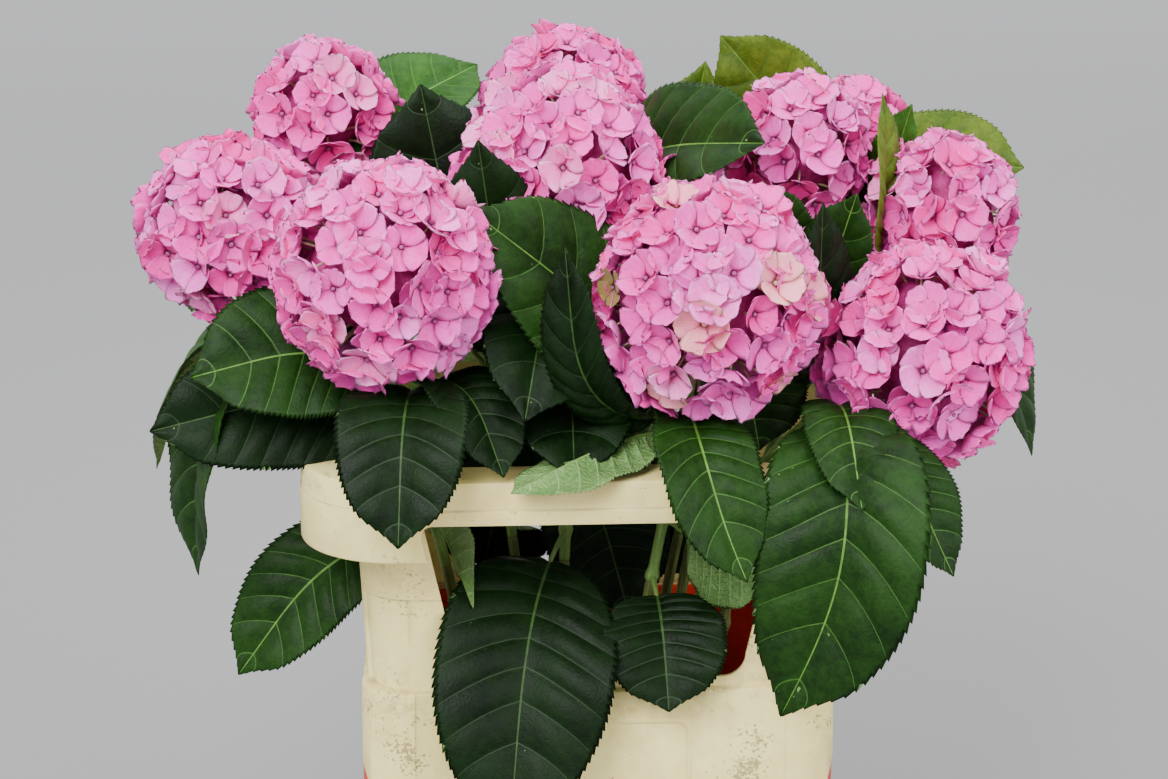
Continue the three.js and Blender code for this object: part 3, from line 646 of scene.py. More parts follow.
def stem_line(stem):
    """A stem's middle line from its foot F to its neck N, the cubic Bezier
    (1-v)^3 F + 3 (1-v)^2 v A + 3 (1-v) v^2 B + v^3 N with A = F + 0.45 h z and B = N - 0.34 h axis."""
    axis = head_axis(stem)
    foot = np.array((*stem["foot"], BUCKET["floor"] + GAP), float)
    neck = np.array(stem["centre"]) - axis * stem["radius"] * HEAD["neck_down"]
    height = neck[2] - foot[2]
    above = foot + (0, 0, STEM["upright"] * height)
    below = neck - axis * STEM["sweep"] * height
    v = np.linspace(0, 1, 400)[:, None]
    w = 1 - v
    return Line(w**3 * foot + 3 * w**2 * v * above + 3 * w * v**2 * below + v**3 * neck)


def root_share(line, leaf):
    """The share of the stem's length at which a leaf springs from it."""
    if "height" in leaf:
        return line.share_at_height(leaf["height"])
    return 1 - leaf["down"] / line.length


def add_stem_stretch(shape, line, low, high, joints, steps):
    """Part of a stem as a tube. Its radius goes evenly from foot to neck and swells by
    s exp(-(d / reach)^2) at a distance d from a joint."""
    share = np.linspace(low, high, steps)
    radius = STEM["foot_radius"] + (STEM["neck_radius"] - STEM["foot_radius"]) * share
    away = (share[:, None] - np.array(joints)) * line.length / JOINT["reach"]
    radius = radius + JOINT["swell"] * np.exp(-away**2).max(1)
    radius[[0, -1]] *= 0.9
    add_tubes(shape, line.at(share)[None], radius[None], STEM["sides"])


def make_canes(lines, finish):
    """The bare canes below the leaves, ringed where lower leaves were, in one piece."""
    shape = Joined()
    for line in lines.values():
        top = line.share_at_height(CANE_TOP)
        joints = np.arange(top, 0, -JOINT["spacing"] / line.length)[1:]
        add_stem_stretch(shape, line, 0, top, joints, STEM["steps"])
    piece("canes", shape, [finish], [f"stem_{name}" for name in STEMS])


# ---------------------------------------------------------------- leaves


def blade_outline(u):
    """Half a blade's width against its greatest: (1 - |2 u^0.88 - 1|^2.2)^0.72, drawn in near the tip."""
    oval = np.clip(1 - np.abs(2 * np.clip(u, 0, 1) ** 0.88 - 1) ** 2.2, 0, 1) ** 0.72
    return oval * (1 - 0.5 * smooth(u, 0.84, 0.99))


class Midrib:
    """A leaf's middle line. It lies in an upright plane and turns down by its bend: the curve is laid out
    level, then turned and scaled until it ends at the tip. Its frame turns towards the leaf's face."""

    def __init__(self, root, leaf):
        self.stations = np.linspace(0, 1, RIB_STEPS + 1)
        knee = leaf.get("knee", LEAF["knee"])
        bend = math.radians(leaf["bend"])

        def turned(t):
            """How far the leaf has turned down at t of its length."""
            return -bend * smooth(t, 0.05, 2 * knee - 0.05)

        between = turned(self.stations[:-1] + 0.5 / RIB_STEPS)
        ahead = np.concatenate([[0], np.cumsum(np.cos(between))]) / RIB_STEPS
        above = np.concatenate([[0], np.cumsum(np.sin(between))]) / RIB_STEPS
        span = np.array(leaf["tip"]) - root
        across = math.hypot(span[0], span[1])
        bearing = np.array((span[0] / across, span[1] / across, 0))
        left = np.array((-bearing[1], bearing[0], 0))
        upward = np.array((0, 0, 1.0))
        self.length = np.linalg.norm(span) / math.hypot(ahead[-1], above[-1])
        rise = math.atan2(span[2], across) - math.atan2(above[-1], ahead[-1])
        forward = self.length * (ahead * math.cos(rise) - above * math.sin(rise))
        height = self.length * (ahead * math.sin(rise) + above * math.cos(rise))
        bow = leaf.get("bow", 0)
        angle = (rise + turned(self.stations))[:, None]
        t = self.stations[:, None]
        level = forward[:, None] * bearing + bow * np.sin(np.pi * t) * left
        self.points = root + level + height[:, None] * upward
        sideways = bow / self.length * np.pi * np.cos(np.pi * t) * left
        self.along = unit(np.cos(angle) * bearing + np.sin(angle) * upward + sideways)
        self.up = np.cos(angle) * upward - np.sin(angle) * bearing
        self.turn = self.turn_towards(leaf.get("face"))

    def turn_towards(self, face):
        """The turn about the midrib's middle that brings the upper side towards a direction."""
        if face is None:
            return 0
        middle = RIB_STEPS // 2
        side = np.cross(self.along[middle], self.up[middle])
        return math.atan2(np.dot(face, side), np.dot(face, self.up[middle]))

    def frame(self, t):
        """Point, side, normal and direction at shares t of the length."""
        point, along, up = (read(values, self.stations, t) for values in (self.points, self.along, self.up))
        side = unit(np.cross(along, up))
        up = np.cross(side, along)
        turn = self.turn * smooth(t, 0, 0.3)[..., None]
        side = side * np.cos(turn) - up * np.sin(turn)
        return point, side, np.cross(side, along), along


def swept(q, part):
    """The place of a row that leaves the midrib at q, part of the way to the rim:
    q + 0.6 part^1.15 q^0.9 (1 - q)."""
    return q + VEIN_SWEEP * part**1.15 * q**0.9 * (1 - q)


def blade_rows():
    """The rows that every blade is drawn on: a notch and a point a tooth, and two rows where a side vein
    runs. Each row has its place at the rim, its place at the midrib, whether it ends in a tooth's point, and
    its side of a vein."""
    rows = []
    for tooth in range(TEETH):
        notch = tooth / TEETH
        if tooth % VEIN_TEETH == 2:
            rows += [(notch, 0, -1), (notch, 0, 1)]
        else:
            rows.append((notch, 0, 0))
        rows.append((notch + TOOTH["point"] / TEETH, 1, 0))
    rows.append((1, 0, 0))
    at_rim, tooth_point, vein_side = np.array(rows).T
    q = np.linspace(0, 1, 400)
    return at_rim, np.interp(at_rim, swept(q, 1), q), tooth_point, vein_side


ROW_RIM, ROW_ROOT, ROW_TOOTH, ROW_VEIN = blade_rows()


def blade(root, leaf, rng):
    """One blade's upper and under points on rows that sweep forward as the side veins do. A point lies at
    rib(u) + s w(u) side, with u = swept(q, |s|), and the halves lift by their fold, arch, swell between the
    veins and wave at their edges."""
    rib = Midrib(root, leaf)
    stalk = leaf.get("stalk", LEAF["stalk"])
    size = rib.length * (1 - stalk)
    at_rim, q, tooth, vein = (row[:, None] for row in (ROW_RIM, ROW_ROOT, ROW_TOOTH, ROW_VEIN))
    part = np.concatenate([BLADE_COLUMNS[::-1], BLADE_COLUMNS])[None]
    hand = np.repeat((-1, 1), len(BLADE_COLUMNS))[None]
    rim = part**8
    u = swept(q, part) + vein * VEIN_HALF * (1 - 0.6 * part) / size + rim * tooth * TOOTH["lean"] / TEETH
    u = np.clip(u, 0, 1)
    full = leaf["width"] / 2 * blade_outline(u)
    taper = np.minimum(1, full / 12)
    rib_half = MIDRIB_HALF * (1 - 0.75 * u)
    half = np.maximum(full, np.where(u < 0.5, 1.5, 0.2)) + rim * tooth * TOOTH["height"] * taper
    middle = np.minimum(rib_half, 0.3 * half)
    across = middle + (half - middle) * part
    fold = math.radians(LEAF["fold"])
    waves, phase = rng.uniform(*LEAF["waves"]), rng.uniform(0, 2 * np.pi, 2)
    phase = np.repeat(phase, len(BLADE_COLUMNS))[None]
    between_veins = np.abs(np.sin(np.pi * (at_rim * TEETH - 2) / VEIN_TEETH)) ** 0.7
    quilt = LEAF["quilt"] * size**0.93 * between_veins * np.sin(np.pi * part**0.7) * taper
    wave = LEAF["wave"] * half * part**2 * np.sin(2 * np.pi * waves * u + phase)
    curl = -rng.uniform(0.0, LEAF["curl"]) * half * part**3
    lift = across * math.sin(fold) * (1.5 - 0.65 * part) + quilt + wave + curl
    point, side, normal, _ = rib.frame(stalk + (1 - stalk) * u)
    upper = point + (hand * across * math.cos(fold))[..., None] * side + lift[..., None] * normal
    ridge = LEAF["vein_ridge"] * np.abs(vein) * (1 - part) + LEAF["midrib_ridge"] * (part < 0.1)
    under = upper - ((LEAF["thick"] + ridge * taper) * (1 - 0.4 * u))[..., None] * normal
    uv = np.stack([u * size, hand * across], -1) * MM
    return upper, under, uv, rib


def blade_finishes(tint, under_tint):
    """Finish numbers of a blade's cells, upper and under: veins along the midrib and the side veins. They are
    dim on the dark tints."""
    dim = LEAF_TINTS[tint] in DARK_TINTS
    side_vein = ((ROW_VEIN[:-1] == -1) & (ROW_VEIN[1:] == 1))[:, None]
    midrib = (np.arange(2 * len(BLADE_COLUMNS) - 1) == len(BLADE_COLUMNS) - 1)[None]
    along, aside = (DIM_MIDRIB, DIM_SIDE_VEIN) if dim else (MIDRIB, SIDE_VEIN)
    upper = np.where(midrib, along, np.where(side_vein, aside, tint))
    return upper, np.where(side_vein | midrib, UNDER_VEIN, under_tint)


def add_stalk(shape, rib, stalk, width):
    """A leaf's stalk, which runs on under the blade as its rib: a tube that tapers to the tip."""
    t = np.linspace(0, 0.97, 40)
    u = np.clip((t - stalk) / (1 - stalk), 0, 1)
    wide = min(1, width / 80)
    radius = LEAF["stalk_radius"] * wide * (1 - smooth(t, 0, stalk) * 0.2)
    radius = np.where(t > stalk, LEAF["rib_radius"] * wide * (1 - 0.85 * u), radius)
    radius = radius + LEAF["root_swell"] * np.exp(-((t * rib.length / LEAF["root_reach"]) ** 2))
    point, _, normal, _ = rib.frame(t)
    line = point - normal * (radius * smooth(t, stalk * 0.5, stalk * 1.2) * 0.8 + 0.2)[:, None]
    add_tubes(shape, line[None], radius[None], 8)


def make_foliage(group, names, lines, finishes, shoot_finish):
    """The leaves of a group's stems, and the shoots and stalks that carry them."""
    shoots, blades = Joined(), []
    for name in names:
        line = lines[name]
        rng = seeded(name, "leaves")
        shares = [root_share(line, leaf) for leaf in STEMS[name]["leaves"]]
        low = line.share_at_height(CANE_TOP)
        add_stem_stretch(shoots, line, low, 1, shares, STEM["steps"])
        for leaf, share in zip(STEMS[name]["leaves"], shares):
            upper, under, uv, rib = blade(line.at(share), leaf, rng)
            tint = LEAF_TINTS.index(leaf.get("tint", rng.choice(("deep", "green", "blue", "fresh"))))
            blades.append((upper, under, uv, *blade_finishes(tint, UNDERSIDE)))
            add_stalk(shoots, rib, leaf.get("stalk", LEAF["stalk"]), leaf["width"])
    leaves = Joined()
    add_sheets(leaves, *(np.stack(part) for part in zip(*blades)))
    nodes = [f"foliage_{name}" for name in names]
    piece(f"leaves_{group}", leaves, finishes, nodes)
    piece(f"shoots_{group}", shoots, [shoot_finish], nodes)


# ---------------------------------------------------------------- flower heads


def turn_to(axis):
    """The matrix that turns +Z to an axis: columns x, y and the axis."""
    x = unit(np.cross((0, 1.0, 0), axis))
    return np.column_stack([x, np.cross(axis, x), axis])


def spread(count, rng):
    """Directions spread evenly on a ball by the golden angle, from the top to the open underside."""
    golden = math.pi * (3 - math.sqrt(5))
    i = np.arange(count)
    up = 1 - 2 * (i + 0.5) / count + rng.normal(0, 0.25 / count, count)
    around = golden * i + rng.normal(0, 0.09, count)
    keep = (up > -HEAD["underside"]) & (up < 1)
    up, around = up[keep], around[keep]
    flat = np.sqrt(1 - up * up)
    return np.stack([flat * np.cos(around), flat * np.sin(around), up], -1)


def place_florets(stem, rng):
    """Middles, normals, spins, sizes and layers of a head's florets: an outer layer, and an inner one that
    shows in the gaps."""
    upright = upright_of(stem)
    turn = turn_to(upright)
    radius = stem["radius"]
    count = round(HEAD["florets_at_75"] * (radius / 75) ** 2)
    outer = spread(count, rng)
    inner = spread(round(count * HEAD["inner_part"]), rng) @ turn_to(unit(np.array((0.3, 0.2, 1)))).T
    inner = inner[inner[:, 2] > -HEAD["underside"]]
    direction = np.concatenate([outer, inner])
    layer = np.repeat((0, 1), (len(outer), len(inner)))
    count = len(direction)
    share = np.where(layer == 0, HEAD["eye_share"], HEAD["inner_share"]) + rng.normal(0, 0.014, count)
    outward = (direction * (1, 1, HEAD["tall"])) @ turn.T
    middle = np.array(stem["centre"]) + outward * (radius * share)[:, None]
    normal = unit(unit(direction * (1, 1, 1 / HEAD["tall"])) @ turn.T + rng.normal(0, 0.2, direction.shape))
    size = PETAL["length"] * rng.uniform(0.84, 1.12, count) * np.where(layer == 0, 1, 0.88)
    return dict(middle=middle, normal=normal, spin=rng.uniform(0, np.pi / 2, count), size=size, layer=layer)


def petal_grids(florets, rng):
    """Four petals a floret, which make a bowl. A petal is w(v) = 1.36 W sqrt(v (1 - v^4)) half wide at v of
    its length. At a distance d from the floret's middle, against its length, it stands r d^1.8 - c d^5 high.
    It waves at its rim and twists so that each petal lies over the next."""
    count = len(florets["size"])
    quarter = np.arange(4) * np.pi / 2
    turn = (florets["spin"][:, None] + quarter + rng.normal(0, 0.05, (count, 4))).reshape(-1, 1)
    normal = np.repeat(florets["normal"], 4, axis=0)
    level = unit(np.cross(normal, (0.36, 0.48, 0.8)))
    other = np.cross(normal, level)
    out = level * np.cos(turn) + other * np.sin(turn)
    side = np.cross(out, normal)
    petals = 4 * count

    def each(low, high):
        """One random number a petal."""
        return rng.uniform(low, high, (petals, 1, 1))

    length = np.repeat(florets["size"], 4)[:, None, None] * each(0.92, 1.08)
    v = PETAL_ROWS[None, :, None]
    s = PETAL_COLUMNS[None, None, :]
    half = length * PETAL["width"] * each(0.9, 1.12) * 1.36 * np.sqrt(v * (1 - v**4))
    rise = np.repeat(rng.uniform(*PETAL["rise"], count), 4)[:, None, None] * each(0.85, 1.15)
    reach = PETAL["foot"] + length * v * (1 - 0.3 * rise * v) - PETAL["notch"] * length * s**2 * v
    across = half * s * (1 - 0.25 * rise * v) + PETAL["skew"] * each(-1, 1) * length * v**2
    away = np.hypot(reach, across) / length
    wave = PETAL["wave"] * np.sin(2 * np.pi * (each(0.6, 1.3) * s + each(0, 1))) * v**3
    bowl = rise * away**1.8 - each(0.0, PETAL["droop"]) * away**5
    height = length * (bowl + wave) + half * PETAL["imbricate"] * s

    def grid(up_by):
        """The petals' points about their florets' middles, raised by so much."""
        parts = (reach, out), (across, side), (height + up_by, normal)
        return sum(np.broadcast_to(a, height.shape)[..., None] * b[:, None, None] for a, b in parts)

    middle = np.repeat(florets["middle"], 4, axis=0)[:, None, None]
    uv = np.stack(np.broadcast_arrays(s / 2 + 0.5, v), -1)
    return middle + grid(0), middle + grid(-PETAL["thick"]), np.broadcast_to(uv, (petals, *uv.shape[1:]))


def add_pedicels(shape, stem, florets):
    """A thin stalk a floret: the curve (1-v)^2 B + 2 (1-v) v C + v^2 M from the branching point B to the
    floret's middle M, which it meets square."""
    upright = upright_of(stem)
    centre = np.array(stem["centre"])
    branch = centre - upright * stem["radius"] * HEAD["branch_share"]
    end = florets["middle"]
    steps = FLORET_STALK["steps"]
    corner = end - florets["normal"] * (np.linalg.norm(end - branch, axis=1) * FLORET_STALK["bend"])[:, None]
    v = np.linspace(0, 1, steps)[None, :, None]
    lines = (1 - v) ** 2 * branch + 2 * (1 - v) * v * corner[:, None] + v**2 * end[:, None]
    radii = np.broadcast_to(np.linspace(*FLORET_STALK["radii"], steps), lines.shape[:2])
    add_tubes(shape, lines, radii, 5)


def add_eyes(shape, florets, kinds):
    """The small round bud in the middle of a floret, a ball told by four rings."""
    lines = florets["middle"][:, None] + florets["normal"][:, None] * np.array(EYE["along"])[:, None]
    size = florets["size"][:, None] / PETAL["length"]
    add_tubes(shape, lines, np.array(EYE["radii"]) * size, 7, kinds)


def add_shade_core(shape, stem):
    """The crowd of stalks and buds deep in a head, as one lumpy body round its axis, painted dark pink as the
    shade deep in the head that shows through the gaps between florets. Above, its radius follows a ball of
    0.68 of the head's; below, it narrows to the stem."""
    upright = upright_of(stem)
    centre = np.array(stem["centre"])
    radius = stem["radius"] * HEAD["core_share"]
    angle = np.radians(np.linspace(-86, 88, 18))
    waist = HEAD["core_waist"]
    narrow = waist + (1 - waist) * smooth(np.sin(angle), -0.9, 0.0)
    line = centre + upright * (radius * HEAD["tall"] * np.sin(angle))[:, None]
    ring = radius * np.cos(angle) * narrow * (1 + HEAD["core_lumps"] * np.sin(angle * 9))
    add_tubes(shape, line[None], ring[None], 26)


def make_heads(group, names, lines, finishes):
    """The flower heads of a group's stems: petals, eyes, stalks and cores painted dark pink as shade, each
    kind in one piece.
    """
    shapes = [Joined() for _ in finishes]
    petals, eyes, stalks, cores = shapes
    for name in names:
        stem = STEMS[name]
        rng = seeded(name, "florets")
        florets = place_florets(stem, rng)
        tints = rng.choice(len(PETAL_TINTS), len(florets["size"]), p=PETAL_SHARES)
        # Every floret of the inner layer takes the dusky tint, a darker pink that is painted shade deep in
        # the head.
        tints = np.where(florets["layer"] == 1, PETAL_TINTS.index("dusky_shade"), tints)
        outward = unit(florets["middle"] - stem["centre"]) * (florets["layer"] == 0)[:, None]
        for tint, directions in AGED.get(name, {}).items():
            nearest = np.argmax(outward @ unit(np.array(directions)).T, axis=0)
            tints[nearest] = PETAL_TINTS.index(tint)
        shrunk = tints == PETAL_TINTS.index("withered")
        florets["size"] = florets["size"] * np.where(shrunk, WITHERED["size"], 1)
        florets["middle"] = florets["middle"] + outward * (shrunk * WITHERED["lift"])[:, None]
        upper, under, uv = petal_grids(florets, rng)
        kinds = np.repeat(tints, 4)[:, None, None]
        add_sheets(petals, upper, under, uv, kinds, kinds)
        add_eyes(eyes, florets, (tints == PETAL_TINTS.index("cream")).astype(int))
        add_pedicels(stalks, stem, florets)
        neck = lines[name].points[-1]
        top = np.array(stem["centre"])
        line = neck + (top - neck) * np.linspace(0, 1, 8)[:, None]
        add_tubes(stalks, line[None], np.linspace(STEM["neck_radius"], 2, 8)[None], 10)
        add_shade_core(cores, stem)
    for (kind, skins), shape in zip(finishes.items(), shapes):
        piece(f"{kind}_{group}", shape, skins, [f"bloom_{name}" for name in names])


# ---------------------------------------------------------------- finishes

LEAF_TINTS = ("deep", "green", "blue", "fresh", "olive")
DARK_TINTS = ("deep", "blue")
# The finish numbers after the tints.
UNDERSIDE, MIDRIB, SIDE_VEIN, UNDER_VEIN, DIM_MIDRIB, DIM_SIDE_VEIN = (len(LEAF_TINTS) + k for k in range(6))
PETAL_TINTS = ("pink", "rose", "deep", "pale", "blush", "cream", "dusky_shade", "withered")
# How often each tint is drawn; the last three are given to florets by their place.
PETAL_SHARES = (0.37, 0.25, 0.13, 0.18, 0.07, 0, 0, 0)
# The directions from a head's middle in which a floret has faded to cream or has withered.
AGED = {
    "front_right": dict(
        cream=[
            (-0.17, -0.97, -0.1), (0.53, -0.74, 0.41), (0.96, -0.25, 0.15), (-0.47, -0.56, -0.68),
            (0.5, -0.45, -0.72), (-0.36, -0.3, 0.88),
        ],
        withered=[(-0.9, -0.42, 0.18)],
    ),
}
WITHERED = dict(size=0.72, lift=7)  # against a fresh floret's size, and how far it stands out


def colour(red, green, blue):
    """A screen colour from 0 to 255 as a linear one: ((c / 255 + 0.055) / 1.055)^2.4, and opaque."""
    return (*(((c / 255 + 0.055) / 1.055) ** 2.4 for c in (red, green, blue)), 1)


def node(tree, kind, inputs=(), **settings):
    """A shader node with its settings made and its inputs filled by values or joined to sockets."""
    made = tree.nodes.new("ShaderNode" + kind)
    for key, value in settings.items():
        setattr(made, key, value)
    for key, value in dict(inputs).items():
        if isinstance(value, bpy.types.NodeSocket):
            tree.links.new(value, made.inputs[key])
        else:
            made.inputs[key].default_value = value
    return made


def blend(tree, share, first, second, way="MIX"):
    """A colour between two, or their product."""
    made = node(tree, "Mix", {0: share, 6: first, 7: second}, data_type="RGBA", blend_type=way)
    return made.outputs[2]


def reckon(tree, way, first, second=0.5, third=None):
    """One sum, product, power or other reckoning of numbers."""
    inputs = {0: first, 1: second} if third is None else {0: first, 1: second, 2: third}
    return node(tree, "Math", inputs, operation=way).outputs[0]


def times(tree, first, second):
    """The product of two numbers."""
    return reckon(tree, "MULTIPLY", first, second)


def stained(tree, base, *stains):
    """A base colour with stains laid over it in turn: each a mask, its share and its colour."""
    for mask, share, tint in stains:
        base = blend(tree, mask if share == 1 else times(tree, mask, share), base, tint)
    return base


def part_of(tree, vector, axis):
    """One number of a vector: 0, 1 or 2 for X, Y or Z."""
    return node(tree, "SeparateXYZ", {0: vector}).outputs[axis]


def stretch(tree, value, low, high, to_low=0.0, to_high=1.0):
    """A number's way from low to high, as one from to_low to to_high, held at the ends."""
    inputs = {"Value": value, "From Min": low, "From Max": high, "To Min": to_low, "To Max": to_high}
    return node(tree, "MapRange", inputs).outputs["Result"]


def noise(tree, vector, scale, detail=4.0, roughness=0.55):
    """Cloudy noise from 0 to 1."""
    inputs = {"Vector": vector, "Scale": scale, "Detail": detail, "Roughness": roughness}
    return node(tree, "TexNoise", inputs).outputs["Fac"]


def new_group(name, inputs, outputs):
    """An empty node group with named sockets, and its own input and output nodes."""
    tree = bpy.data.node_groups.new(name, "ShaderNodeTree")
    kinds = {float: "Float", tuple: "Color", type(None): "Vector"}
    for label, value in inputs.items():
        kind = "NodeSocket" + kinds[type(value)]
        socket = tree.interface.new_socket(label, in_out="INPUT", socket_type=kind)
        if value is not None:
            socket.default_value = value
    for label, kind in outputs.items():
        tree.interface.new_socket(label, in_out="OUTPUT", socket_type="NodeSocket" + kind)
    return tree, tree.nodes.new("NodeGroupInput").outputs, tree.nodes.new("NodeGroupOutput").inputs


def two_tone_group():
    """Two colours in soft patches with finer ones in them, and the patches' height."""
    white = (1.0, 1.0, 1.0, 1.0)
    tree, given, result = new_group(
        "two_tone", {"Vector": None, "Scale": 5.0, "Dark": white, "Light": white},
        {"Color": "Color", "Height": "Float"},
    )
    broad = noise(tree, given["Vector"], given["Scale"])
    fine = noise(tree, given["Vector"], times(tree, given["Scale"], 7.0), 5.0, 0.65)
    height = reckon(tree, "MULTIPLY_ADD", fine, 0.4, times(tree, broad, 0.6))
    share = stretch(tree, height, 0.4, 0.6)
    tree.links.new(blend(tree, share, given["Dark"], given["Light"]), result["Color"])
    tree.links.new(height, result["Height"])
    return tree


def specks_group():
    """A mask of small ragged specks that crowd in patches."""
    tree, given, result = new_group(
        "specks", {"Vector": None, "Scale": 300.0, "Cover": 0.3}, {"Mask": "Float"},
    )
    grain = noise(tree, given["Vector"], given["Scale"], 3.0, 0.7)
    patch = noise(tree, given["Vector"], times(tree, given["Scale"], 0.05), 4.0, 0.6)
    crowd = times(tree, stretch(tree, patch, 0.47, 0.66, 0.0, 0.24), given["Cover"])
    tree.links.new(stretch(tree, reckon(tree, "ADD", grain, crowd), 0.7, 0.76), result["Mask"])
    return tree


def scratches_group():
    """A mask of thin scuffs that run level, with a few that run askew."""
    tree, given, result = new_group(
        "scratches", {"Vector": None, "Scale": 30.0, "Cover": 0.5}, {"Mask": "Float"},
    )
    marks = []
    for turn, shape in ((0.0, (1.0, 1.0, 22.0)), (0.7, (16.0, 1.0, 1.4))):
        way = {"Vector": given["Vector"], "Rotation": (0, turn, turn), "Scale": shape}
        grain = noise(tree, node(tree, "Mapping", way).outputs[0], given["Scale"], 2.0, 0.8)
        marks.append(stretch(tree, grain, 0.69, 0.75))
    both = reckon(tree, "MAXIMUM", *marks)
    patch = stretch(tree, noise(tree, given["Vector"], 9.0), 0.42, 0.62)
    shown = times(tree, times(tree, both, patch), given["Cover"])
    tree.links.new(shown, result["Mask"])
    return tree


def vein_net_group():
    """The fine net between a leaf's side veins: the height of its cells and a mask of its lines."""
    tree, given, result = new_group(
        "vein_net", {"Vector": None, "Scale": 330.0}, {"Height": "Float", "Lines": "Float"},
    )
    wobble = node(tree, "TexNoise", {"Vector": given["Vector"], "Scale": 160.0, "Detail": 2.0})
    way = {0: wobble.outputs["Color"], 1: (0.004, 0.004, 0.0)}
    shift = node(tree, "VectorMath", way, operation="MULTIPLY").outputs[0]
    place = node(tree, "VectorMath", {0: given["Vector"], 1: shift}, operation="ADD").outputs[0]
    cells, inner = (
        node(tree, "TexVoronoi", {"Vector": place, "Scale": scale}, feature="DISTANCE_TO_EDGE").outputs[0]
        for scale in (given["Scale"], times(tree, given["Scale"], 2.6))
    )
    dome = reckon(tree, "POWER", stretch(tree, cells, 0.0, 0.32), 0.6)
    fine = stretch(tree, inner, 0.0, 0.3)
    tree.links.new(reckon(tree, "MULTIPLY_ADD", fine, 0.3, dome), result["Height"])
    tree.links.new(stretch(tree, cells, 0.1, 0.0), result["Lines"])
    return tree


def petal_marks_group():
    """A petal's marks on its own UV, across and along: rays from its foot, its pale rim and its deep foot."""
    tree, given, result = new_group(
        "petal_marks", {"Vector": None}, {"Rays": "Float", "Rim": "Float", "Foot": "Float"},
    )
    across, along = (part_of(tree, given["Vector"], axis) for axis in (0, 1))
    fan = node(tree, "CombineXYZ", {0: times(tree, across, 13.0), 1: along})
    lines = noise(tree, fan.outputs[0], 1.6, 3.0, 0.75)
    tree.links.new(stretch(tree, lines, 0.5, 0.66), result["Rays"])
    aside = reckon(tree, "ABSOLUTE", reckon(tree, "MULTIPLY_ADD", across, 2.0, -1.0))
    rim = reckon(tree, "MAXIMUM", reckon(tree, "POWER", aside, 7.0), reckon(tree, "POWER", along, 8.0))
    tree.links.new(rim, result["Rim"])
    tree.links.new(stretch(tree, along, 0.36, 0.0), result["Foot"])
    return tree


GROUP = {
    "two_tone": two_tone_group(),
    "specks": specks_group(),
    "scratches": scratches_group(),
    "vein_net": vein_net_group(),
    "petal_marks": petal_marks_group(),
}


def use(tree, name, **inputs):
    """One of the shared groups, placed in a material with its own values."""
    return node(tree, "Group", inputs, node_tree=GROUP[name]).outputs


def material(name, **values):
    """A material's tree, its shader with plain values set, and the piece's object and UV coordinates."""
    made = bpy.data.materials.new(name)
    made.use_nodes = True
    tree = made.node_tree
    shader = tree.nodes["Principled BSDF"]
    for key, value in values.items():
        shader.inputs[key.replace("_", " ")].default_value = value
    place = node(tree, "TexCoord").outputs
    return made, tree, shader, place["Object"], place["UV"]


def join(tree, source, shader, socket):
    """A reckoned value goes into one of the shader's inputs."""
    tree.links.new(source, shader.inputs[socket])


def add_bump(tree, shader, height, distance, strength=1.0):
    """Relief from a height in metres."""
    bump = node(tree, "Bump", {"Height": height, "Distance": distance, "Strength": strength})
    tree.links.new(bump.outputs[0], shader.inputs["Normal"])


def collar_finish():
    """Cream plastic gone yellow in patches, with grime in its seams and specks that crowd on the apron."""
    made, tree, shader, place, _ = material("cream_plastic", Specular_IOR_Level=0.42)
    dark, light = colour(241, 220, 140), colour(254, 239, 162)
    tone = use(tree, "two_tone", Vector=place, Scale=9.0, Dark=dark, Light=light)
    height = part_of(tree, place, 2)
    low = stretch(tree, height, 0.36, 0.25)
    cover = reckon(tree, "MULTIPLY_ADD", low, 0.5, 0.5)
    specks = use(tree, "specks", Vector=place, Scale=420.0, Cover=cover)["Mask"]
    smear = use(tree, "specks", Vector=place, Scale=90.0, Cover=times(tree, cover, 0.75))["Mask"]
    scratches = use(tree, "scratches", Vector=place, Scale=34.0, Cover=0.55)["Mask"]

    def away_from(level):
        """How far above or below a level a point is, in metres."""
        return reckon(tree, "ABSOLUTE", reckon(tree, "SUBTRACT", height, level * MM))

    above_ledge, skirt_line, facet_edge = (
        stretch(tree, away_from(level), width * MM, 0.0)
        for level, width in (
            (COLLAR["ledge_z"] + 0.8, 1.6), (SKIRT["line_z"], 1.2), (CORNER["facet_top"] + 0.6, 1.0),
        )
    )
    seam = reckon(tree, "MAXIMUM", reckon(tree, "MAXIMUM", above_ledge, skirt_line), facet_edge)
    seam = times(tree, seam, stretch(tree, noise(tree, place, 40.0), 0.35, 0.65, 0.15, 0.6))
    stain = stretch(tree, noise(tree, place, 26.0, 5.0), 0.52, 0.66)
    grime = stretch(tree, noise(tree, place, 55.0, 6.0, 0.7), 0.5, 0.64, 0.0, 0.6)
    grime = times(tree, grime, stretch(tree, away_from(COLLAR["ledge_z"] - 4), 0.02, 0.002))
    base = stained(
        tree, tone["Color"], (stain, 0.5, colour(214, 192, 132)), (grime, 1, colour(150, 126, 84)),
        (smear, 0.5, colour(176, 160, 122)), (specks, 0.7, colour(112, 100, 76)),
        (scratches, 0.7, colour(168, 152, 112)), (seam, 1, colour(140, 124, 92)),
    )
    join(tree, base, shader, "Base Color")
    dirt = reckon(tree, "MAXIMUM", specks, smear)
    rough = stretch(tree, reckon(tree, "ADD", dirt, tone["Height"]), 0.3, 1.5, 0.36, 0.75)
    join(tree, rough, shader, "Roughness")
    relief = reckon(tree, "MULTIPLY_ADD", noise(tree, place, 260.0, 2.0), 0.3, times(tree, dirt, 0.5))
    relief = reckon(tree, "SUBTRACT", relief, times(tree, scratches, 0.6))
    add_bump(tree, shader, relief, 0.0003)
    return made


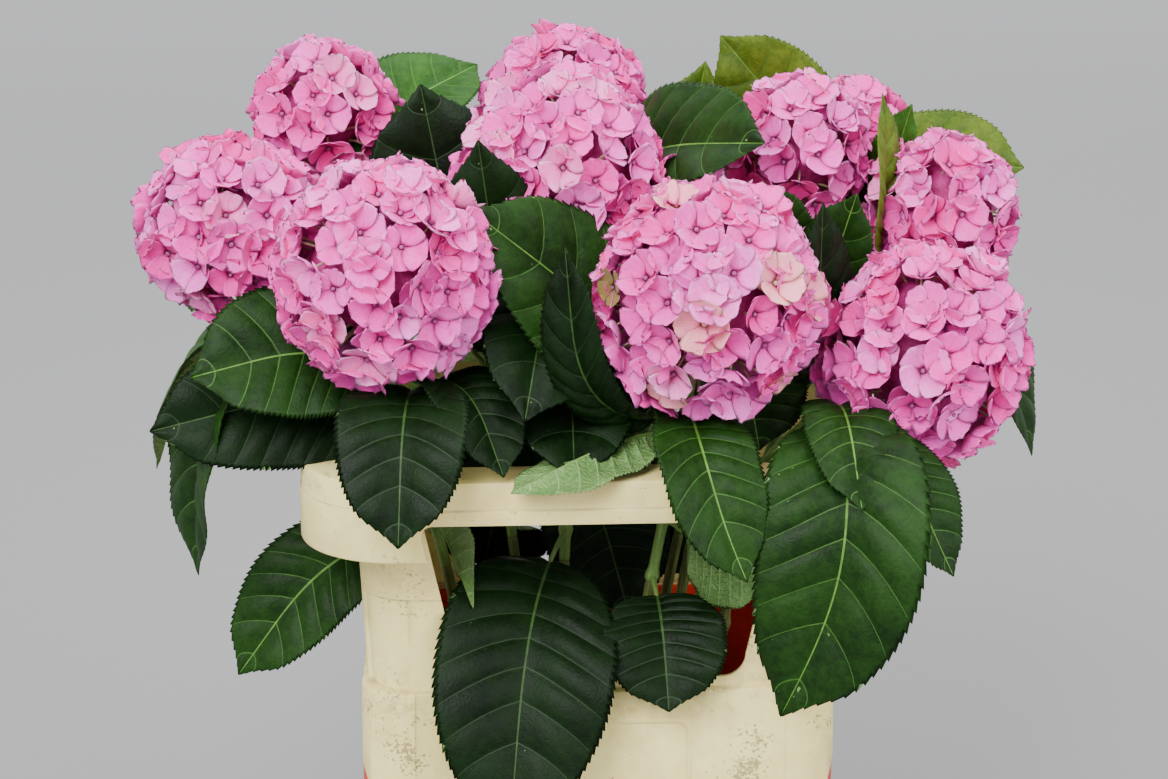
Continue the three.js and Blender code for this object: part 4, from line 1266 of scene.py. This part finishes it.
def bucket_finish():
    """Orange-red plastic, chalky where it is scuffed and dirty near its foot."""
    made, tree, shader, place, _ = material("red_plastic", Specular_IOR_Level=0.48)
    tone = use(tree, "two_tone", Vector=place, Scale=7.0, Dark=colour(186, 26, 6), Light=colour(222, 44, 10))
    cover = reckon(tree, "MULTIPLY_ADD", stretch(tree, part_of(tree, place, 2), 0.11, 0.0), 0.6, 0.1)
    specks = use(tree, "specks", Vector=place, Scale=300.0, Cover=cover)["Mask"]
    scratches = use(tree, "scratches", Vector=place, Scale=26.0, Cover=0.9)["Mask"]
    base = stained(
        tree, tone["Color"], (scratches, 0.55, colour(232, 128, 92)), (specks, 0.6, colour(96, 58, 40)),
    )
    join(tree, base, shader, "Base Color")
    rough = reckon(tree, "ADD", reckon(tree, "MAXIMUM", specks, scratches), tone["Height"])
    join(tree, stretch(tree, rough, 0.3, 1.5, 0.32, 0.72), shader, "Roughness")
    relief = reckon(tree, "SUBTRACT", times(tree, noise(tree, place, 220.0, 2.0), 0.3), scratches)
    add_bump(tree, shader, relief, 0.0003)
    return made


def cane_finish(name, dark, light, fleck, streak):
    """Green bark with long streaks and small corky flecks, along the stem's own UV."""
    made, tree, shader, _, along = material(name, Specular_IOR_Level=0.35)
    pulled = node(tree, "Mapping", {"Vector": along, "Scale": (1.0, 0.09, 1.0)}).outputs[0]
    tone = use(tree, "two_tone", Vector=pulled, Scale=streak, Dark=dark, Light=light)
    flecks = use(tree, "specks", Vector=along, Scale=700.0, Cover=0.42)["Mask"]
    join(tree, stained(tree, tone["Color"], (flecks, 0.8, fleck)), shader, "Base Color")
    join(tree, stretch(tree, tone["Height"], 0.3, 0.7, 0.45, 0.7), shader, "Roughness")
    add_bump(tree, shader, reckon(tree, "MULTIPLY_ADD", flecks, 0.7, tone["Height"]), 0.0004)
    return made


def leaf_finish(name, dark, light, gloss=0.12, net=0.3, relief=0.00012):
    """A leaf's skin: two greens in patches, a fine net of veins that sinks or stands, and a soft gloss."""
    made, tree, shader, place, along = material(name, Specular_IOR_Level=gloss)
    tone = use(tree, "two_tone", Vector=place, Scale=22.0, Dark=dark, Light=light)
    veins = use(tree, "vein_net", Vector=along, Scale=240.0)
    paler = blend(tree, 1.0, tone["Color"], (1.9, 1.7, 1.6, 1.0), "MULTIPLY")
    join(tree, stained(tree, tone["Color"], (veins["Lines"], net, paler)), shader, "Base Color")
    join(tree, stretch(tree, tone["Height"], 0.3, 0.7, 0.42, 0.56), shader, "Roughness")
    add_bump(tree, shader, veins["Height"], relief)
    return made


def petal_finish(name, deep, body, rim):
    """A petal: its body colour in soft patches, finer rays, a paler rim and a deeper foot."""
    made, tree, shader, place, own = material(
        name, Specular_IOR_Level=0.22, Roughness=0.62, Sheen_Weight=0.12, Subsurface_Weight=0.12,
        Subsurface_Radius=(0.004, 0.002, 0.002), Subsurface_Scale=1.0,
    )
    marks = use(tree, "petal_marks", Vector=own)
    tone = use(tree, "two_tone", Vector=place, Scale=60.0, Dark=body, Light=blend(tree, 0.35, body, rim))
    stains = (marks["Rim"], 0.6, rim), (marks["Rays"], 0.28, deep), (marks["Foot"], 0.6, deep)
    base = stained(tree, tone["Color"], *stains)
    join(tree, base, shader, "Base Color")
    add_bump(tree, shader, reckon(tree, "MULTIPLY_ADD", marks["Rays"], -0.5, tone["Height"]), 0.0003)
    return made


def soft_finish(name, dark, light, scale=120.0):
    """Plain plant skin: two tones in small patches over a faint grain."""
    made, tree, shader, place, _ = material(name, Specular_IOR_Level=0.3, Roughness=0.6)
    tone = use(tree, "two_tone", Vector=place, Scale=scale, Dark=dark, Light=light)
    join(tree, tone["Color"], shader, "Base Color")
    add_bump(tree, shader, tone["Height"], 0.0004)
    return made


def leaf_finishes():
    """The upper skins by tint, then the underside and the veins of both sides."""
    tints = dict(
        deep=((4, 19, 3), (11, 34, 7)), green=((13, 36, 7), (27, 58, 14)), blue=((8, 26, 9), (18, 42, 14)),
        fresh=((26, 64, 14), (46, 90, 24)), olive=((54, 78, 16), (84, 106, 28)),
    )
    veins = dict(
        midrib=((70, 112, 36), (98, 144, 54)), side_vein=((38, 76, 20), (60, 102, 32)),
        under_vein=((124, 158, 96), (148, 180, 118)), dim_midrib=((34, 62, 22), (52, 84, 32)),
        dim_side_vein=((17, 40, 13), (28, 54, 20)),
    )
    upper = [leaf_finish(f"leaf_{name}", *(colour(*tone) for tone in tints[name])) for name in LEAF_TINTS]
    under = leaf_finish("leaf_underside", colour(92, 130, 70), colour(118, 156, 92), 0.25, 0.3, 0.0008)
    lines = [soft_finish(f"leaf_{name}", *(colour(*tone) for tone in tones)) for name, tones in veins.items()]
    return [*upper, under, *lines]


def petal_finishes():
    """The petals' tints: each a deep foot, a body and a rim."""
    tints = dict(
        pink=((208, 10, 136), (255, 56, 190), (255, 148, 226)),
        rose=((200, 8, 126), (255, 40, 178), (255, 122, 216)),
        deep=((188, 6, 114), (246, 28, 160), (255, 94, 200)),
        pale=((222, 30, 152), (255, 88, 206), (255, 178, 236)),
        blush=((224, 42, 144), (255, 112, 198), (255, 192, 228)),
        cream=((232, 84, 140), (254, 142, 176), (252, 202, 172)),
        # A darker pink for the inner florets: painted shade deep in the head.
        dusky_shade=((164, 24, 118), (218, 56, 168), (240, 98, 196)),
        withered=((84, 60, 26), (128, 106, 52), (156, 138, 82)),
    )
    return [petal_finish(f"petal_{name}", *(colour(*tone) for tone in tints[name])) for name in PETAL_TINTS]


# ---------------------------------------------------------------- the whole

LINES = {name: stem_line(stem) for name, stem in STEMS.items()}

cream = collar_finish()
red = bucket_finish()
make_bucket(red)
make_collar(cream)
make_panel_lines(cream)
bark = cane_finish("cane_bark", colour(70, 84, 40), colour(118, 128, 66), colour(132, 112, 74), 520.0)
make_canes(LINES, bark)

leaf_skins = leaf_finishes()
shoot_skin = cane_finish("shoot_skin", colour(86, 124, 56), colour(130, 164, 88), colour(118, 96, 92), 420.0)
head_skins = dict(
    petals=petal_finishes(),
    eyes=[
        soft_finish("eye_purple", colour(128, 52, 108), colour(176, 98, 152), 400.0),
        soft_finish("eye_green", colour(176, 176, 120), colour(214, 212, 170), 400.0),
    ],
    floret_stalks=[soft_finish("floret_stalk", colour(150, 150, 100), colour(196, 172, 150))],
    # The cores' dark pink is painted shade: the shade deep in a head, seen through the gaps between florets.
    painted_shade_cores=[soft_finish("painted_shade_core", colour(158, 30, 104), colour(206, 66, 152), 160.0)],
)
for group, names in GROUPS.items():
    make_foliage(group, names, LINES, leaf_skins, shoot_skin)
    make_heads(group, names, LINES, head_skins)

# ---------------------------------------------------------------- floor, light and camera

# In metres, degrees, and for the lens in millimetres.
FLOOR_HALF = 12.0
LIT_POINT = (0, 0, 0.45)
CAMERA = dict(target=(-0.006, 0, 0.459), distance=1.9, azimuth=-3, elevation=16, lens=83.78, sensor=36)


def make_floor():
    """A plain pale floor, wide enough to fill the view, with painted light: its grey is painted a little
    lighter far away.
    """
    made, tree, shader, place, _ = material("floor_grey_and_painted_light", Roughness=0.85, Specular_IOR_Level=0.1)
    # Painted light: the floor's grey goes from (136, 136, 137) near to (186, 187, 189) far away.
    far = stretch(tree, part_of(tree, place, 1), -0.5, 5.0)
    join(tree, blend(tree, far, colour(136, 136, 137), colour(186, 187, 189)), shader, "Base Color")
    corners = [(x * FLOOR_HALF, y * FLOOR_HALF, 0) for x, y in ((-1, -1), (1, -1), (1, 1), (-1, 1))]
    mesh = bpy.data.meshes.new("floor")
    mesh.from_pydata(corners, [], [(0, 1, 2, 3)])
    mesh.materials.append(made)
    placed("floor", mesh)


def looking(thing, place, target):
    """The thing stands at a place and looks at a target."""
    thing.location = place
    thing.rotation_euler = (target - place).to_track_quat("-Z", "Y").to_euler()


def make_light(name, place, size, power):
    """A square soft white light that looks at the middle of the part."""
    lamp = bpy.data.lights.new(name, "AREA")
    lamp.shape = "SQUARE"
    lamp.size = size
    lamp.energy = power
    looking(placed(name, lamp), Vector(place), Vector(LIT_POINT))


def make_studio():
    """Soft grey surroundings, a broad light from the upper left, a weaker one from the right and one from
    above."""
    world = bpy.data.worlds.new("studio")
    world.use_nodes = True
    bpy.context.scene.world = world
    surroundings = world.node_tree.nodes["Background"]
    surroundings.inputs["Color"].default_value = (0.92, 0.92, 0.925, 1)
    surroundings.inputs["Strength"].default_value = 1.4
    make_light("key", (-0.9, -2.0, 2.2), 1.4, 100)
    make_light("fill", (1.8, -1.5, 1.2), 1.2, 32)
    make_light("top", (0.2, 0.4, 2.6), 1.6, 46)


def make_camera():
    """The camera looks at its target from a distance, at an azimuth and an elevation."""
    azimuth, elevation = math.radians(CAMERA["azimuth"]), math.radians(CAMERA["elevation"])
    level = math.cos(elevation)
    back = Vector((math.sin(azimuth) * level, -math.cos(azimuth) * level, math.sin(elevation)))
    lens = bpy.data.cameras.new("camera")
    lens.lens = CAMERA["lens"]
    lens.sensor_width = CAMERA["sensor"]
    camera = placed("camera", lens)
    target = Vector(CAMERA["target"])
    looking(camera, target + back * CAMERA["distance"], target)
    bpy.context.scene.camera = camera


make_floor()
make_studio()
make_camera()
